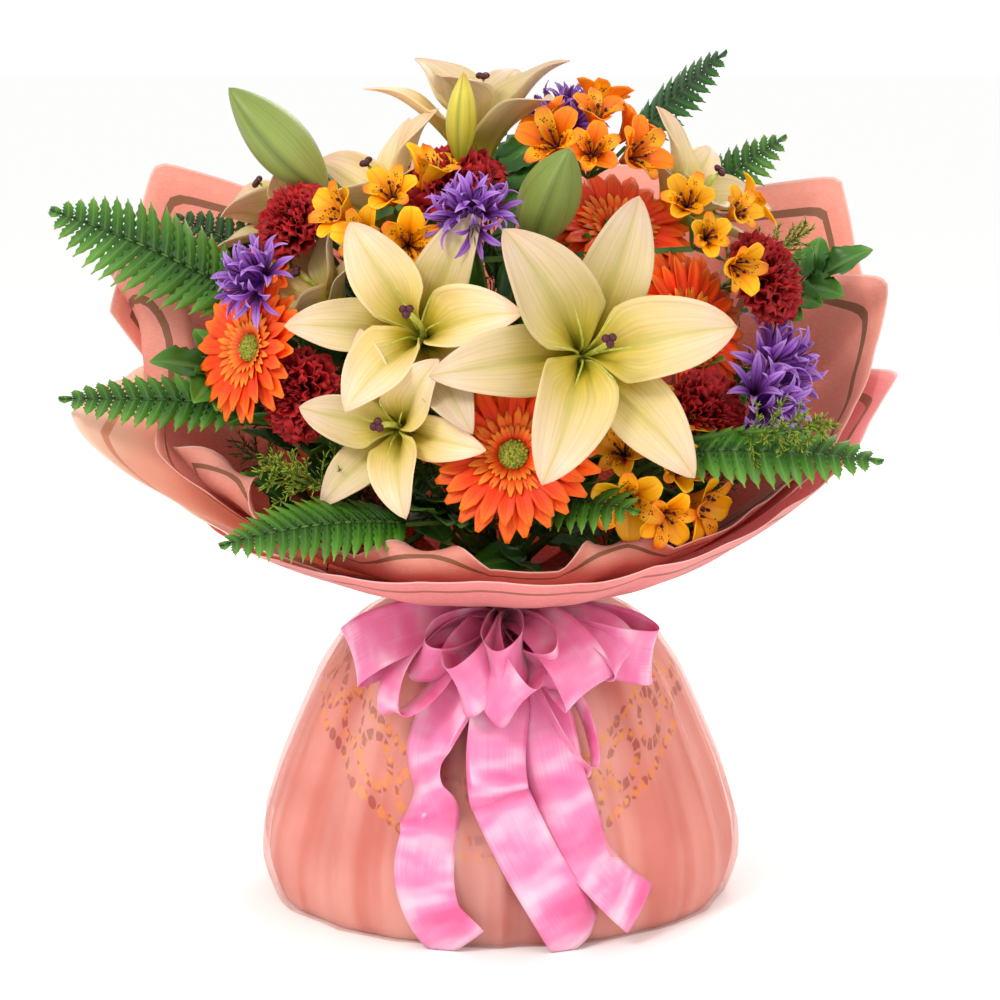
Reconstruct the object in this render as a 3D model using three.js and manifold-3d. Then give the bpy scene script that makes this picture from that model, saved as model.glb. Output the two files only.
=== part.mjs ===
// A standing mixed bouquet of cut flowers: lilies, gerberas, carnations, alstroemerias and agapanthus
// among ferns and filler sprays, tied at the neck, in a collar and a skirt of wrapping sheets with a bow.
// Millimetres, +Z up. The surface it stands on is Z = 0, its axis is X = Y = 0, and its front faces -Y.
import * as THREE from "three";
import { mergeGeometries, mergeVertices } from "three/addons/utils/BufferGeometryUtils.js";
import Module from "manifold-3d";

const wasm = await Module();
wasm.setup();

// ---- Driving dimensions ----
const FINE = 0.12; // detail finer than this is smoothed away where forms are joined
const COARSE = 0.4; // the same, for forms without thin blades
const GAP = 0.4; // room left between pieces that touch on the real thing
const NECK_Z = 191; // height of the tie
const SLEEVE_HALF = 5; // the sheets run upright through the tie for this far above and below it
const BUNCH_RADIUS = 18.6; // the stems pressed together by the tie
const BINDING = { inner: 19.6, outer: 21.2, half: 6 }; // twine wound round the stems
const SHEET = 1.0; // thickness that stands for one wrapping sheet
const LAYER_PITCH = SHEET + 0.3; // radial step from one sheet to the next at the tie
const LAYER_SPREAD = 1.5; // how much further apart the sheets are at their rims
const FIRST_LAYER = BINDING.outer + 0.35 + SHEET / 2; // middle radius of the innermost sheet
const RIBBON = { width: 34, thick: 0.9 };
const STEM_SPREAD = 4.2; // how far the cut ends stand out, as a multiple of their place at the tie
const STEM_TWIST = 70; // degrees that the stems turn between the tie and their cut ends
const PETAL = { lily: 1.8, gerbera: 1.2, carnation: 1.2, small: 1.2, leaf: 1.4 }; // thickness at the middle

const COLOUR = {
  lily: 0xeee29a,
  bud: 0x7f9a58,
  gerbera: 0xf4611c,
  carnation: 0x8e0f1b,
  alstroemeria: 0xf2b01c,
  agapanthus: 0x6a45b5,
  fern: 0x3f7a2a,
  leaf: 0x4b7f3a,
  filler: 0x8da83a,
  stem: 0x5d8a3c,
  sheet: 0xe88f7c,
  lining: 0xf0a07f,
  ribbon: 0xf58fc4,
  twine: 0xb09a6a,
};

// ---- Small helpers ----
const rad = THREE.MathUtils.degToRad;
const lerp = THREE.MathUtils.lerp;
const point = (x, y, z) => new THREE.Vector3(x, y, z);
const UP = point(0, 0, 1);

// Unit vector at a bearing from the front (positive towards +X) and an elevation, in degrees.
function heading(bearing, elevation = 0) {
  const flat = Math.cos(rad(elevation));
  return point(Math.sin(rad(bearing)) * flat, -Math.cos(rad(bearing)) * flat, Math.sin(rad(elevation)));
}

// Point at a bearing round the bouquet's axis, a radius and a height.
const around = (bearing, radius, z) => heading(bearing).multiplyScalar(radius).setZ(z);

// A repeatable source of numbers from 0 to 1.
function seeded(seed) {
  let state = seed * 7919 + 17;
  return () => {
    state = (state * 1103515245 + 12345) % 2147483648;
    return state / 2147483648;
  };
}

// The solid that a closed geometry bounds, turned right side out. Collapsed triangles are dropped.
function solidOf(geometry) {
  const bare = geometry.clone();
  bare.deleteAttribute("normal");
  bare.deleteAttribute("uv");
  const merged = mergeVertices(bare, 1e-4);
  const kept = [];
  for (let i = 0; i < merged.index.count; i += 3) {
    const [a, b, c] = [0, 1, 2].map((k) => merged.index.getX(i + k));
    if (a !== b && b !== c && a !== c) kept.push(a, b, c);
  }
  const build = (triangles) =>
    new wasm.Manifold(
      new wasm.Mesh({
        numProp: 3,
        vertProperties: new Float32Array(merged.attributes.position.array),
        triVerts: new Uint32Array(triangles),
      }),
    );
  const made = build(kept);
  if (made.volume() > 0) return made;
  for (let i = 0; i < kept.length; i += 3) [kept[i], kept[i + 1]] = [kept[i + 1], kept[i]];
  return build(kept);
}

function geometryOf(solid) {
  const mesh = solid.getMesh();
  const positions = new Float32Array(mesh.numVert * 3);
  for (let i = 0; i < mesh.numVert; i++)
    positions.set(mesh.vertProperties.subarray(i * mesh.numProp, i * mesh.numProp + 3), i * 3);
  return new THREE.BufferGeometry()
    .setAttribute("position", new THREE.BufferAttribute(positions, 3))
    .setIndex(new THREE.BufferAttribute(new Uint32Array(mesh.triVerts), 1));
}

// Joins solids into one body and drops loose scraps.
function fuse(solids, fine = FINE) {
  const bodies = wasm.Manifold.union(solids).simplify(fine).decompose();
  return bodies.sort((a, b) => b.volume() - a.volume())[0];
}

const moved = (solid, matrix) => solid.transform(matrix.toArray());

// Turns +Z to a direction, after a roll about +Z, and moves the origin to a place.
function pose(place, direction, roll = 0) {
  const turn = new THREE.Quaternion().setFromUnitVectors(UP, direction.clone().normalize());
  turn.multiply(new THREE.Quaternion().setFromAxisAngle(UP, rad(roll)));
  return new THREE.Matrix4().compose(place, turn, point(1, 1, 1));
}

// ---- Forms that every flower and leaf is made from ----

// A thin blade: one grid on both faces, split alike, which meet along the outline.
// surface(u, v) gives a point for u from root 0 to tip 1 and v from one edge -1 to the other 1.
// A blade that is closed all round, like a cup, has its two edges joined.
function blade(surface, rows, columns, thickness, closed = false) {
  const step = 0.01;
  const face = (sign) => {
    const grid = new THREE.PlaneGeometry(2, 1, columns, rows);
    const position = grid.getAttribute("position");
    for (let i = 0; i < position.count; i++) {
      const [u, v] = [0.5 - position.getY(i), position.getX(i)];
      const place = surface(u, v);
      const inside = u > 1e-6 && u < 1 - 1e-6 && (closed || Math.abs(v) < 1 - 1e-6);
      if (inside) {
        const along = surface(u + step, v).sub(surface(u - step, v));
        const across = surface(u, v + step).sub(surface(u, v - step));
        place.addScaledVector(along.cross(across).normalize(), (sign * thickness) / 2);
      }
      position.setXYZ(i, place.x, place.y, place.z);
    }
    if (sign < 0) grid.index.array.reverse();
    return grid;
  };
  return solidOf(mergeGeometries([face(1), face(-1)]));
}

// Distance out (x) and up (z) along a middle line of a given length, whose lean from the axis
// goes from one angle to another, in degrees. A higher power keeps the bend for the tip.
function leanLine(length, from, to, power, u) {
  const steps = 8;
  const place = { out: 0, up: 0, lean: rad(lerp(from, to, Math.max(u, 0) ** power)) };
  for (let i = 0; i < steps; i++) {
    const lean = rad(lerp(from, to, Math.max(((i + 0.5) / steps) * u, 0) ** power));
    place.out += (Math.sin(lean) * length * u) / steps;
    place.up += (Math.cos(lean) * length * u) / steps;
  }
  return place;
}

// A petal that leans out from the axis towards +X. It lies on the cone it shares with its ring, so that
// petals of one ring never cross: `share` is how many of them the ring has room for.
function petal(shape, rows, columns, thickness) {
  const { length, width, lean, cup = 0, outline, start = 1, notch = 0, share = 3, skew = 1 } = shape;
  return blade(
    (row, v) => {
      const u = Math.max(row, 0) ** skew;
      const reach = u - notch * u * Math.abs(Math.sin(Math.PI * v * columns * 0.5));
      const { out, up, lean: angle } = leanLine(length, ...lean, reach);
      const half = (width / 2) * outline(u);
      const lift = cup * half * v * v;
      const radius = Math.max(start + out, 0.5);
      const turn = v * Math.min(half / radius, (0.93 * Math.PI) / share);
      const distance = radius - lift * Math.cos(angle);
      return point(distance * Math.cos(turn), distance * Math.sin(turn), up + lift * Math.sin(angle));
    },
    rows,
    columns,
    thickness,
  );
}

// Petals in a ring, each turned about the axis.
const ring = (count, firstAngle, make) =>
  Array.from({ length: count }, (_, i) => make(i).rotate([0, 0, firstAngle + (360 * i) / count]));

// A cup of petals joined at the base: a closed sheet whose edge runs out to each tip and back to a notch.
function rosette({ points, length, lean, notch, start = 0.5 }, thickness) {
  const surface = (u, v) => {
    const angle = Math.PI * v;
    const reach = lerp(notch, 1, 0.5 + 0.5 * Math.cos(points * angle));
    const { out, up } = leanLine(length, ...lean, Math.max(u, 0) * reach);
    const radius = u <= 0 ? 0 : start + out;
    return point(radius * Math.cos(angle), radius * Math.sin(angle), up);
  };
  return blade(surface, 2, 2 * points, thickness, true);
}

// A stalk through points, with few sides.
function stalk(points, radius, sides = 3) {
  const tube = new THREE.CylinderGeometry(1, 1, 1, sides, points.length - 1);
  const position = tube.getAttribute("position");
  const last = points.length - 1;
  const heads = points.map((_, i) =>
    points[Math.min(i + 1, last)].clone().sub(points[Math.max(i - 1, 0)]).normalize(),
  );
  const side = point(1, 0.3, 0);
  const sideways = heads.map((head) => side.projectOnPlane(head).normalize().clone());
  for (let i = 0; i < position.count; i++) {
    const at = Math.round((0.5 - position.getY(i)) * last);
    const third = heads[at].clone().cross(sideways[at]);
    const place = points[at]
      .clone()
      .addScaledVector(sideways[at], position.getX(i) * radius)
      .addScaledVector(third, position.getZ(i) * radius);
    position.setXYZ(i, place.x, place.y, place.z);
  }
  return solidOf(tube);
}

// A three-sided needle from a root point along a direction.
function needle(root, direction, length, radius) {
  const shape = new THREE.TetrahedronGeometry(1);
  const upright = new THREE.Quaternion().setFromUnitVectors(point(1, 1, 1).normalize(), UP);
  shape.applyQuaternion(upright).translate(0, 0, 1 / 3).scale(radius, radius, length * 0.75);
  shape.applyMatrix4(pose(root, direction));
  return solidOf(shape);
}

// A round form along +Z: radius(u, angle) for u from 0 at the root to 1 at the top.
function bulb(length, radius, sides, rows) {
  const ball = new THREE.SphereGeometry(1, sides, rows);
  const position = ball.getAttribute("position");
  for (let i = 0; i < position.count; i++) {
    const u = 1 - Math.acos(THREE.MathUtils.clamp(position.getY(i), -1, 1)) / Math.PI;
    const angle = Math.atan2(position.getZ(i), position.getX(i));
    const pole = u < 1e-6 || u > 1 - 1e-6;
    const r = pole ? 0 : radius(u, angle);
    position.setXYZ(i, r * Math.cos(angle), r * Math.sin(angle), length * u);
  }
  return solidOf(ball);
}

// ---- Flowers, each in its own frame: root at the origin, face along +Z ----

const lilyOutline = (u) => (u <= 0 || u >= 1 ? 0.02 : Math.sin(Math.PI * u ** 0.94) ** 0.9);

function lily({ length, open }) {
  const shared = { length, outline: lilyOutline, start: 2 };
  const inner = { ...shared, width: length * 0.47, lean: [open * 0.16, open, 0.9], cup: 0.3, share: 3 };
  const back = [open * 0.32, open + 10, 0.85];
  const outer = { ...shared, width: length * 0.35, lean: back, cup: 0.2, share: 3.4 };
  const pistil = needle(point(4, 0, length * 0.66), point(-0.06, 0, -1), length * 0.66, 3);
  return fuse([
    ...ring(3, 0, () => petal(inner, 4, 2, PETAL.lily)),
    ...ring(3, 60, () => petal(outer, 4, 2, PETAL.lily)),
    bulb(9, (u) => 4 * Math.sin(Math.PI * u) + 0.5, 5, 3).translate([0, 0, -3]),
    pistil,
  ]);
}

function lilyBud({ length, width }) {
  const profile = (u) => (width / 2) * Math.sin(Math.PI * u ** 0.92) ** 0.85;
  return bulb(length, (u, angle) => profile(u) * (1 + 0.07 * Math.cos(3 * angle)), 9, 6);
}

function gerbera({ radius }) {
  const strap = (u) => (u <= 0 || u >= 1 ? 0.1 : 1);
  const shared = { outline: strap, start: radius * 0.14, skew: 0.55 };
  const outer = { ...shared, length: radius * 0.88, width: radius * 0.32, lean: [74, 98, 1], share: 12 };
  const inner = { ...shared, length: radius * 0.56, width: radius * 0.26, lean: [42, 76, 1], share: 6 };
  const disc = (u) => radius * 0.24 * Math.sin(Math.PI * u) ** 0.6;
  return fuse([
    ...ring(12, 0, () => petal(outer, 2, 2, PETAL.gerbera)),
    ...ring(6, 15, () => petal(inner, 2, 2, PETAL.gerbera)),
    bulb(radius * 0.2, disc, 6, 3).translate([0, 0, -4]),
  ]);
}

function carnation({ radius, seed }) {
  const random = seeded(seed);
  const layers = [
    { points: 7, length: 1.18, lean: [58, 112, 1], notch: 0.8 },
    { points: 6, length: 1.1, lean: [34, 86, 1], notch: 0.78 },
    { points: 5, length: 1, lean: [12, 52, 1], notch: 0.76 },
  ];
  const cups = layers.map((layer) =>
    rosette({ ...layer, length: radius * layer.length }, PETAL.carnation).rotate([0, 0, 60 * random()]),
  );
  return fuse([needle(point(0, 0, -3), UP, radius * 0.8, radius * 0.2), ...cups]);
}

// Florets that fan out from one root, each on a short stalk.
function cluster(florets, makeFloret, stalkRadius) {
  const parts = florets.flatMap(([x, y, z, bearing, elevation], i) => {
    const place = point(x, y, z);
    const face = heading(bearing, elevation);
    const floret = moved(makeFloret(i), pose(place, face, 40 * i));
    return [needle(point(0, 0, -3), place, place.length() + 7, stalkRadius), floret];
  });
  return fuse(parts);
}

function alstroemeriaFloret(length) {
  return rosette({ points: 6, length, lean: [20, 72, 1.1], notch: 0.64 }, PETAL.small);
}

// A narrow funnel with a six-pointed mouth, from a root at the origin.
function agapanthusFloret(length, bearing, elevation) {
  const mouth = length * 0.4;
  const funnel = new THREE.ConeGeometry(1, 1, 12, 1);
  const position = funnel.getAttribute("position");
  for (let i = 0; i < position.count; i++) {
    const rim = Math.hypot(position.getX(i), position.getZ(i)) > 0.5;
    const inside = !rim && position.getY(i) < 0;
    const angle = Math.atan2(position.getZ(i), position.getX(i));
    const tip = Math.cos(6 * angle) > 0;
    const r = rim ? mouth * (tip ? 1 : 0.3) : 0;
    const z = rim ? length * (tip ? 0.95 : 0.8) : inside ? length * 0.5 : 0;
    position.setXYZ(i, r * Math.cos(angle), r * Math.sin(angle), z);
  }
  return moved(solidOf(funnel), pose(point(0, 0, 0), heading(bearing, elevation), 25 * elevation));
}

function agapanthus({ floret }) {
  const outer = [0, 1, 2, 3].map((i) => agapanthusFloret(floret, 90 * i + 20, 30 + 10 * (i % 2)));
  const joint = solidOf(new THREE.OctahedronGeometry(3.2));
  return fuse([agapanthusFloret(floret * 1.05, 0, 88), joint, ...outer], COARSE);
}

// ---- Foliage ----

// A fern frond along +X that arches over: one thin blade whose edge is cut to the rib into leaflets.
function frond({ length, width, droop }) {
  const pairs = Math.round(length / 12);
  const surface = (u, v) => {
    const { out, up } = leanLine(length, 90 - droop * 0.35, 90 + droop * 0.65, 1, u);
    const inTip = 0.5 - 0.5 * Math.cos(2 * Math.PI * pairs * u);
    const outline = 0.1 + 0.9 * Math.sin(Math.PI * Math.min(0.18 + 0.84 * u, 1)) ** 0.75;
    const half = Math.max((width / 2) * outline * lerp(0.07, 1, inTip), 1.4);
    const forward = Math.abs(v) * half * 0.32;
    return point(out + forward, half * v, up - Math.abs(v) * half * 0.18);
  };
  return blade(surface, pairs * 2, 2, PETAL.leaf);
}

// A leafy sprig along +X: broad leaves with waved edges on both sides of a stalk.
function sprig({ length, leaf: [leafLength, leafWidth] }) {
  const count = 5;
  const leafOutline = (u) => (u <= 0 ? 0.05 : u >= 1 ? 0.03 : Math.sin(Math.PI * u ** 0.85) ** 0.8);
  const wave = (u) => 1 + 0.12 * Math.sin(14 * u);
  const leaf = (i) => {
    const along = 0.25 + (0.75 * i) / (count - 1);
    const side = i % 2 ? 1 : -1;
    const shape = {
      length: leafLength * (i === count - 1 ? 1 : 0.85),
      width: leafWidth,
      lean: [78, 100, 1],
      cup: 0.12,
      share: 1,
      outline: (u) => leafOutline(u) * wave(u),
    };
    const turn = i === count - 1 ? 0 : side * 52;
    return petal(shape, 3, 2, PETAL.leaf).rotate([0, 0, turn]).translate([length * along - 1, 0, 0]);
  };
  const stem = needle(point(-2, 0, 0), point(1, 0, 0), length + 4, 2);
  return fuse([stem, ...Array.from({ length: count }, (_, i) => leaf(i))]);
}

// A filler spray along +Z: fine needles all round a slim core, out to its tips.
function plume({ length, needles, reach, seed }) {
  const random = seeded(seed);
  const core = needle(point(0, 0, -2), UP, length + 2, 2.6);
  const parts = Array.from({ length: needles }, (_, i) => {
    const along = 0.16 + (0.8 * i) / (needles - 1);
    const bearing = 137.5 * i + 30 * random();
    const size = reach * (1.12 - 0.75 * along) * (0.8 + 0.4 * random());
    const root = point(along, 0, length * along);
    return needle(root, heading(bearing, 20 + 45 * along), size, 1.25);
  });
  return fuse([core, ...parts]);
}

// ---- Wrapping: collar sheets, skirt and ribbon ----

// The bowl that the collar sheets lie in, as its rim runs round: bearing, radius, height.
const BOWL = [
  [-165, 172, 440], [-150, 172, 432], [-135, 178, 424], [-120, 186, 421], [-113, 227, 425],
  [-102, 234, 392], [-92, 242, 362], [-85, 237, 332], [-75, 228, 296], [-60, 207, 266],
  [-45, 200, 248], [-30, 198, 236], [-15, 196, 229], [0, 196, 228], [15, 196, 229],
  [30, 198, 237], [45, 201, 250], [60, 206, 268], [75, 217, 295], [86, 228, 322],
  [97, 231, 356], [106, 227, 392], [114, 223, 418], [121, 182, 421], [135, 176, 424],
  [150, 172, 432], [165, 172, 440], [180, 174, 442],
];
const COLLAR_ROWS = 5; // the first of them runs upright in the tie
const SLEEVE_SHARE = 1 / COLLAR_ROWS;
const BOWL_LAYER = 4; // the layer that lies on the bowl itself

// How late the bowl turns up on its way out: late at the front, where it runs flat, early at the back.
const turnUp = (bearing) => lerp(3.2, 1.25, Math.min(Math.abs(bearing) / 150, 1) ** 0.8);

// A collar sheet, from upright in the tie out to its rim. Rim knots: bearing on the bowl, share of the
// way out to the bowl's rim, and how far the edge is pushed out and up from there.
function collarSheet({ layer, rim }) {
  const order = layer - BOWL_LAYER;
  const core = FIRST_LAYER + LAYER_PITCH * BOWL_LAYER;
  const start = { radius: core + LAYER_PITCH * order, z: NECK_Z + 3.4 - LAYER_PITCH * order };
  const place = (u, [bearing, share, push, raise]) => {
    if (u <= SLEEVE_SHARE) return [start.radius, lerp(NECK_Z - 4.5, start.z, u / SLEEVE_SHARE)];
    const [, rimRadius, rimHeight] = BOWL.find(([b]) => (b - bearing) % 360 === 0);
    const out = (u - SLEEVE_SHARE) / (1 - SLEEVE_SHARE);
    const t = out < 0.75 ? out : lerp(0.75, share, (out - 0.75) * 4);
    const power = turnUp(bearing > 180 ? bearing - 360 : bearing);
    const rise = rimHeight - NECK_Z - 3.4;
    const slope = new THREE.Vector2(rimRadius - core, rise * power * t ** (power - 1)).normalize();
    const off = order * (LAYER_PITCH + LAYER_SPREAD * t);
    const bend = Math.max(2 * out - 1, 0) ** 2;
    return [
      lerp(core, rimRadius, t) + off * slope.y + push * bend,
      NECK_Z + 3.4 + rise * t ** power - off * slope.x + raise * bend,
    ];
  };
  const surface = (u, v) => {
    const along = THREE.MathUtils.clamp((v + 1) / 2, 0, 1) * (rim.length - 1);
    const from = Math.min(Math.floor(along), rim.length - 2);
    const ends = [rim[from], rim[from + 1]].map((knot) => around(knot[0], ...place(u, knot)));
    return ends[0].lerp(ends[1], along - from);
  };
  return blade(surface, COLLAR_ROWS, rim.length - 1, SHEET);
}

// The skirt's silhouette from the tie down to the hem: radius beyond the tie, height.
const SKIRT_PROFILE = [
  [0, NECK_Z + SLEEVE_HALF],
  [0, NECK_Z - SLEEVE_HALF],
  [9, 182],
  [46, 179],
  [66, 163],
  [84, 136],
  [110, 76],
  [120, 44],
  [122, 24],
  [113, 0],
];
const SKIRT_DEPTH = 0.95; // front to back, as a share of its width
const PLEATS = 12;
const PLEAT_DEPTH = 2.6;

// A skirt sheet all round, gathered into pleats that fade at the tie and at the hem.
function skirtSheet({ layer, inset, hem, sides }) {
  const thickness = SHEET;
  const gathered = FIRST_LAYER + LAYER_PITCH * layer + SHEET / 2;
  const outerWall = SKIRT_PROFILE.map(([r, z]) => [r ? gathered + r - inset : gathered, z]);
  outerWall[outerWall.length - 1][1] = hem;
  outerWall.slice(2, -1).forEach((ring) => (ring[1] -= inset * 0.8));
  const innerWall = outerWall.map(([r, z], i) => {
    const flat = i > 1 && i < 4; // on the shoulder the sheet lies flat, so its underside is below it
    return flat ? [r - 0.3 * thickness, z - thickness] : [r - thickness, z];
  });
  const profile = [...outerWall, ...innerWall.reverse()];
  profile.push(profile[0]);
  const shell = new THREE.LatheGeometry(
    profile.map(([r, z]) => new THREE.Vector2(r, z)),
    sides,
  );
  const position = shell.getAttribute("position");
  for (let i = 0; i < position.count; i++) {
    const [x, z, y] = [position.getX(i), position.getY(i), position.getZ(i)];
    const radius = Math.hypot(x, y);
    const bearing = Math.atan2(x, y);
    const down = THREE.MathUtils.clamp((NECK_Z - 12 - z) / (NECK_Z + 25), 0, 1);
    const fullness = Math.sin(Math.PI * down) ** 0.7;
    const pleat = 1 - (PLEAT_DEPTH * fullness * Math.cos(PLEATS * bearing)) / Math.max(radius, 1);
    const flatten = lerp(1, SKIRT_DEPTH, THREE.MathUtils.smoothstep(radius, 40, 110));
    position.setXYZ(i, x * pleat, -y * pleat * flatten, z);
  }
  return solidOf(shell);
}

// A ring round the neck, from a square section.
function band(inner, outer, low, high, sides) {
  const section = [
    [inner, low],
    [outer, low],
    [outer, high],
    [inner, high],
    [inner, low],
  ];
  const hoop = new THREE.LatheGeometry(
    section.map(([r, z]) => new THREE.Vector2(r, z)),
    sides,
  );
  return solidOf(hoop.rotateX(Math.PI / 2));
}

// The skirt's outer radius at a height.
function skirtRadius(z) {
  const lower = Math.max(SKIRT_PROFILE.findIndex(([, height]) => height <= z), 1);
  const [[r0, z0], [r1, z1]] = [SKIRT_PROFILE[lower - 1], SKIRT_PROFILE[lower]];
  return FIRST_LAYER + LAYER_PITCH + SHEET / 2 + lerp(r0, r1, (z0 - z) / Math.max(z0 - z1, 0.1));
}

// A point on the front of the skirt, a little in front of its pleats.
function onSkirt(x, z, off = 8) {
  const radius = skirtRadius(z) + off;
  return point(x, -Math.sqrt(radius ** 2 - x ** 2) * lerp(1, SKIRT_DEPTH, Math.min(radius / 110, 1)), z);
}

// A stretch of ribbon along a smooth line. wide(u, line) gives its half width as a vector.
function strip(points, wide, rows) {
  const line = new THREE.CatmullRomCurve3(points, false, "centripetal");
  const along = (u) => THREE.MathUtils.clamp(u, 0, 1);
  const surface = (u, v) => line.getPoint(along(u)).addScaledVector(wide(along(u), line), v);
  return blade(surface, rows, 2, RIBBON.thick);
}

const RIBBON_RADIUS = FIRST_LAYER + 7 * LAYER_PITCH; // outside every sheet at the tie
const KNOT = point(2, -80, 179.5); // the bow's knot is drawn forward over the skirt's shoulder

// Bow loops: far end, how far the ribbon stands out from a straight line to it, and its half width.
const LOOPS = [
  { end: [-86, -92, 160], swell: 13, half: 14 },
  { end: [-58, -120, 134], swell: 15, half: 15 },
  { end: [-22, -128, 146], swell: 13, half: 15 },
  { end: [16, -128, 144], swell: 14, half: 15 },
  { end: [54, -120, 140], swell: 15, half: 15 },
  { end: [90, -90, 166], swell: 13, half: 14 },
];

// The way round a loop: share of the way to its far end, and side, as a share of its swell.
const LOOP_LINE = [
  [0.06, 0.1],
  [0.4, 0.75],
  [0.8, 0.95],
  [1, 0.4],
  [0.8, -0.15],
  [0.4, -0.1],
  [0.06, -0.1],
];

// Tail ends lie on the front of the skirt: x and height of points along each, from the bow down.
const TAILS = [
  [[-10, 168], [-29, 143], [-50, 108], [-52, 92], [-42, 68], [-54, 40], [-40, 18], [-24, 2]],
  [[2, 166], [0, 139], [-12, 104], [-6, 86], [11, 68], [25, 36], [42, 2]],
  [[12, 166], [27, 128], [36, 86], [51, 58], [66, 38], [80, 22]],
];

function bowLoop({ end, swell, half }) {
  const far = point(...end);
  const along = far.clone().sub(KNOT).normalize();
  const out = far.clone().add(KNOT).setZ(0).normalize().projectOnPlane(along).normalize();
  const wide = out.clone().cross(along).multiplyScalar(half);
  const at = ([share, side]) => {
    const z = KNOT.z - (KNOT.z - far.z) * share ** 1.6 + 3 * Math.sin(Math.PI * share);
    return KNOT.clone().lerp(far, share).addScaledVector(out, swell * side).setZ(z);
  };
  const widthAt = (u) => wide.clone().multiplyScalar(lerp(0.2, 1, Math.sin(Math.PI * u) ** 0.6));
  return strip(LOOP_LINE.map(at), widthAt, 6);
}

function tail(points) {
  const first = onSkirt(...points[0]);
  const line = [KNOT.clone().lerp(first, 0.1), ...points.map(([x, z]) => onSkirt(x, z))];
  const widthAt = (u, curve) => {
    const out = curve.getPoint(u).setZ(25).normalize();
    const half = (RIBBON.width / 2) * lerp(0.15, 1, Math.min(u * 4, 1));
    return curve.getTangent(u).cross(out).normalize().multiplyScalar(half);
  };
  return strip(line, widthAt, 8);
}

function ribbon() {
  const strap = [point(1, -RIBBON_RADIUS, 187.5), point(2, -56, 186), KNOT];
  const middle = RIBBON.thick / 2;
  const knot = bulb(15, (u) => 5 * Math.sin(Math.PI * u) ** 0.6, 6, 4).rotate([0, 90, 0]);
  return fuse([
    band(RIBBON_RADIUS - middle, RIBBON_RADIUS + middle, 184.5, 189.5, 24),
    strip(strap, () => point(6, 0, 0), 2),
    knot.translate([KNOT.x - 7.5, KNOT.y, KNOT.z]),
    ...LOOPS.map(bowLoop),
    ...TAILS.map(tail),
  ], COARSE);
}

// ---- What stands where ----

// Collar sheets from the inside out.
const COLLAR = {
  collar_inner: {
    layer: 2,
    rim: [[-75, 0.86, 0, 2], [-60, 0.9, 0, 4], [-45, 0.93, 1, 2], [-30, 0.88, 0, 5],
      [-15, 0.92, 2, 1], [0, 0.87, 0, 4], [15, 0.92, 1, 2], [30, 0.87, 0, 4],
      [45, 0.91, 2, 1], [60, 0.88, 0, 4], [75, 0.86, 0, 2]],
  },
  collar_left: {
    layer: 3,
    rim: [[-120, 0.9, 0, 0], [-113, 0.88, 0, 0], [-102, 0.93, 2, 0], [-92, 1, 2, 2], [-85, 0.95, 0, 0],
      [-75, 0.92, 0, 0], [-60, 0.9, 0, 0]],
  },
  collar_right: {
    layer: 3,
    rim: [[60, 0.92, 0, 0], [75, 0.95, 0, 0], [86, 0.97, 0, 0], [97, 1, 0, 0], [106, 0.93, 0, 0],
      [114, 0.88, 0, 0], [121, 0.92, 0, 0]],
  },
  collar_back: {
    layer: 4,
    rim: [[97, 0.97, 0, 0], [106, 0.99, 0, 0], [114, 1, 0, 0], [121, 1, 0, 0], [135, 0.98, 0, 0],
      [150, 1, 0, 0], [165, 0.98, 0, 0], [180, 1, 0, 0], [195, 0.98, 0, 0], [210, 1, 0, 0],
      [225, 0.98, 0, 0], [240, 1, 0, 0], [247, 1, 0, 0], [258, 0.98, 0, 0], [268, 0.96, 0, 0]],
  },
  collar_flap: {
    layer: 5,
    rim: [[-102, 0.84, 3, -6], [-92, 0.93, 6, -14], [-85, 0.99, 10, -20], [-75, 1.03, 10, -22],
      [-60, 1.01, 8, -16], [-45, 1, 5, -10], [-30, 0.97, 2, -4]],
  },
  collar_front: {
    layer: 6,
    rim: [[-60, 0.97, 10, -22], [-45, 0.99, 7, -14], [-30, 1, 3, -6], [-15, 1, 0, 0],
      [0, 1, 0, 0], [15, 1, 0, 0], [30, 1, 0, 0], [45, 1, 0, 0],
      [60, 1, 0, 0], [75, 1, 0, 0], [86, 0.98, 0, -4], [97, 0.9, 0, -4]],
  },
};

// Blooms: root place, bearing and elevation of the face, roll, and size.
const LILIES = {
  lily_front: { at: [43, -114, 326], face: [12, 36], roll: 18, length: 108, open: 94 },
  lily_centre: { at: [-44, -94, 334], face: [-12, 40], roll: -8, length: 88, open: 80 },
  lily_low: { at: [-60, -116, 286], face: [-22, 10], roll: 30, length: 78, open: 84 },
  lily_top: { at: [-13, -4, 420], face: [0, 82], roll: 10, length: 92, open: 60 },
  lily_top_left: { at: [-50, -22, 408], face: [-68, 54], roll: 0, length: 84, open: 64 },
  lily_left: { at: [-84, -54, 350], face: [-62, 38], roll: 20, length: 70, open: 64 },
  lily_far_left: { at: [-104, 30, 392], face: [-88, 36], roll: 0, length: 78, open: 62 },
  lily_right: { at: [90, 24, 400], face: [66, 44], roll: 30, length: 78, open: 72 },
};

const BUDS = {
  bud_left: { at: [-90, -16, 398], face: [-76, 44], length: 84, width: 33 },
  bud_right: { at: [15, -64, 402], face: [22, 52], length: 74, width: 34 },
  bud_top: { at: [-22, -78, 440], face: [0, 86], length: 52, width: 17 },
};

const GERBERAS = {
  gerbera_front: { at: [8, -152, 284], face: [-3, 22], radius: 48 },
  gerbera_left: { at: [-122, -88, 322], face: [-48, 14], radius: 45 },
  gerbera_top: { at: [68, -36, 408], face: [22, 50], radius: 48 },
  gerbera_right: { at: [104, -78, 350], face: [42, 20], radius: 46 },
  gerbera_far_left: { at: [-128, -22, 366], face: [-68, 22], radius: 40 },
};

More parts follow.
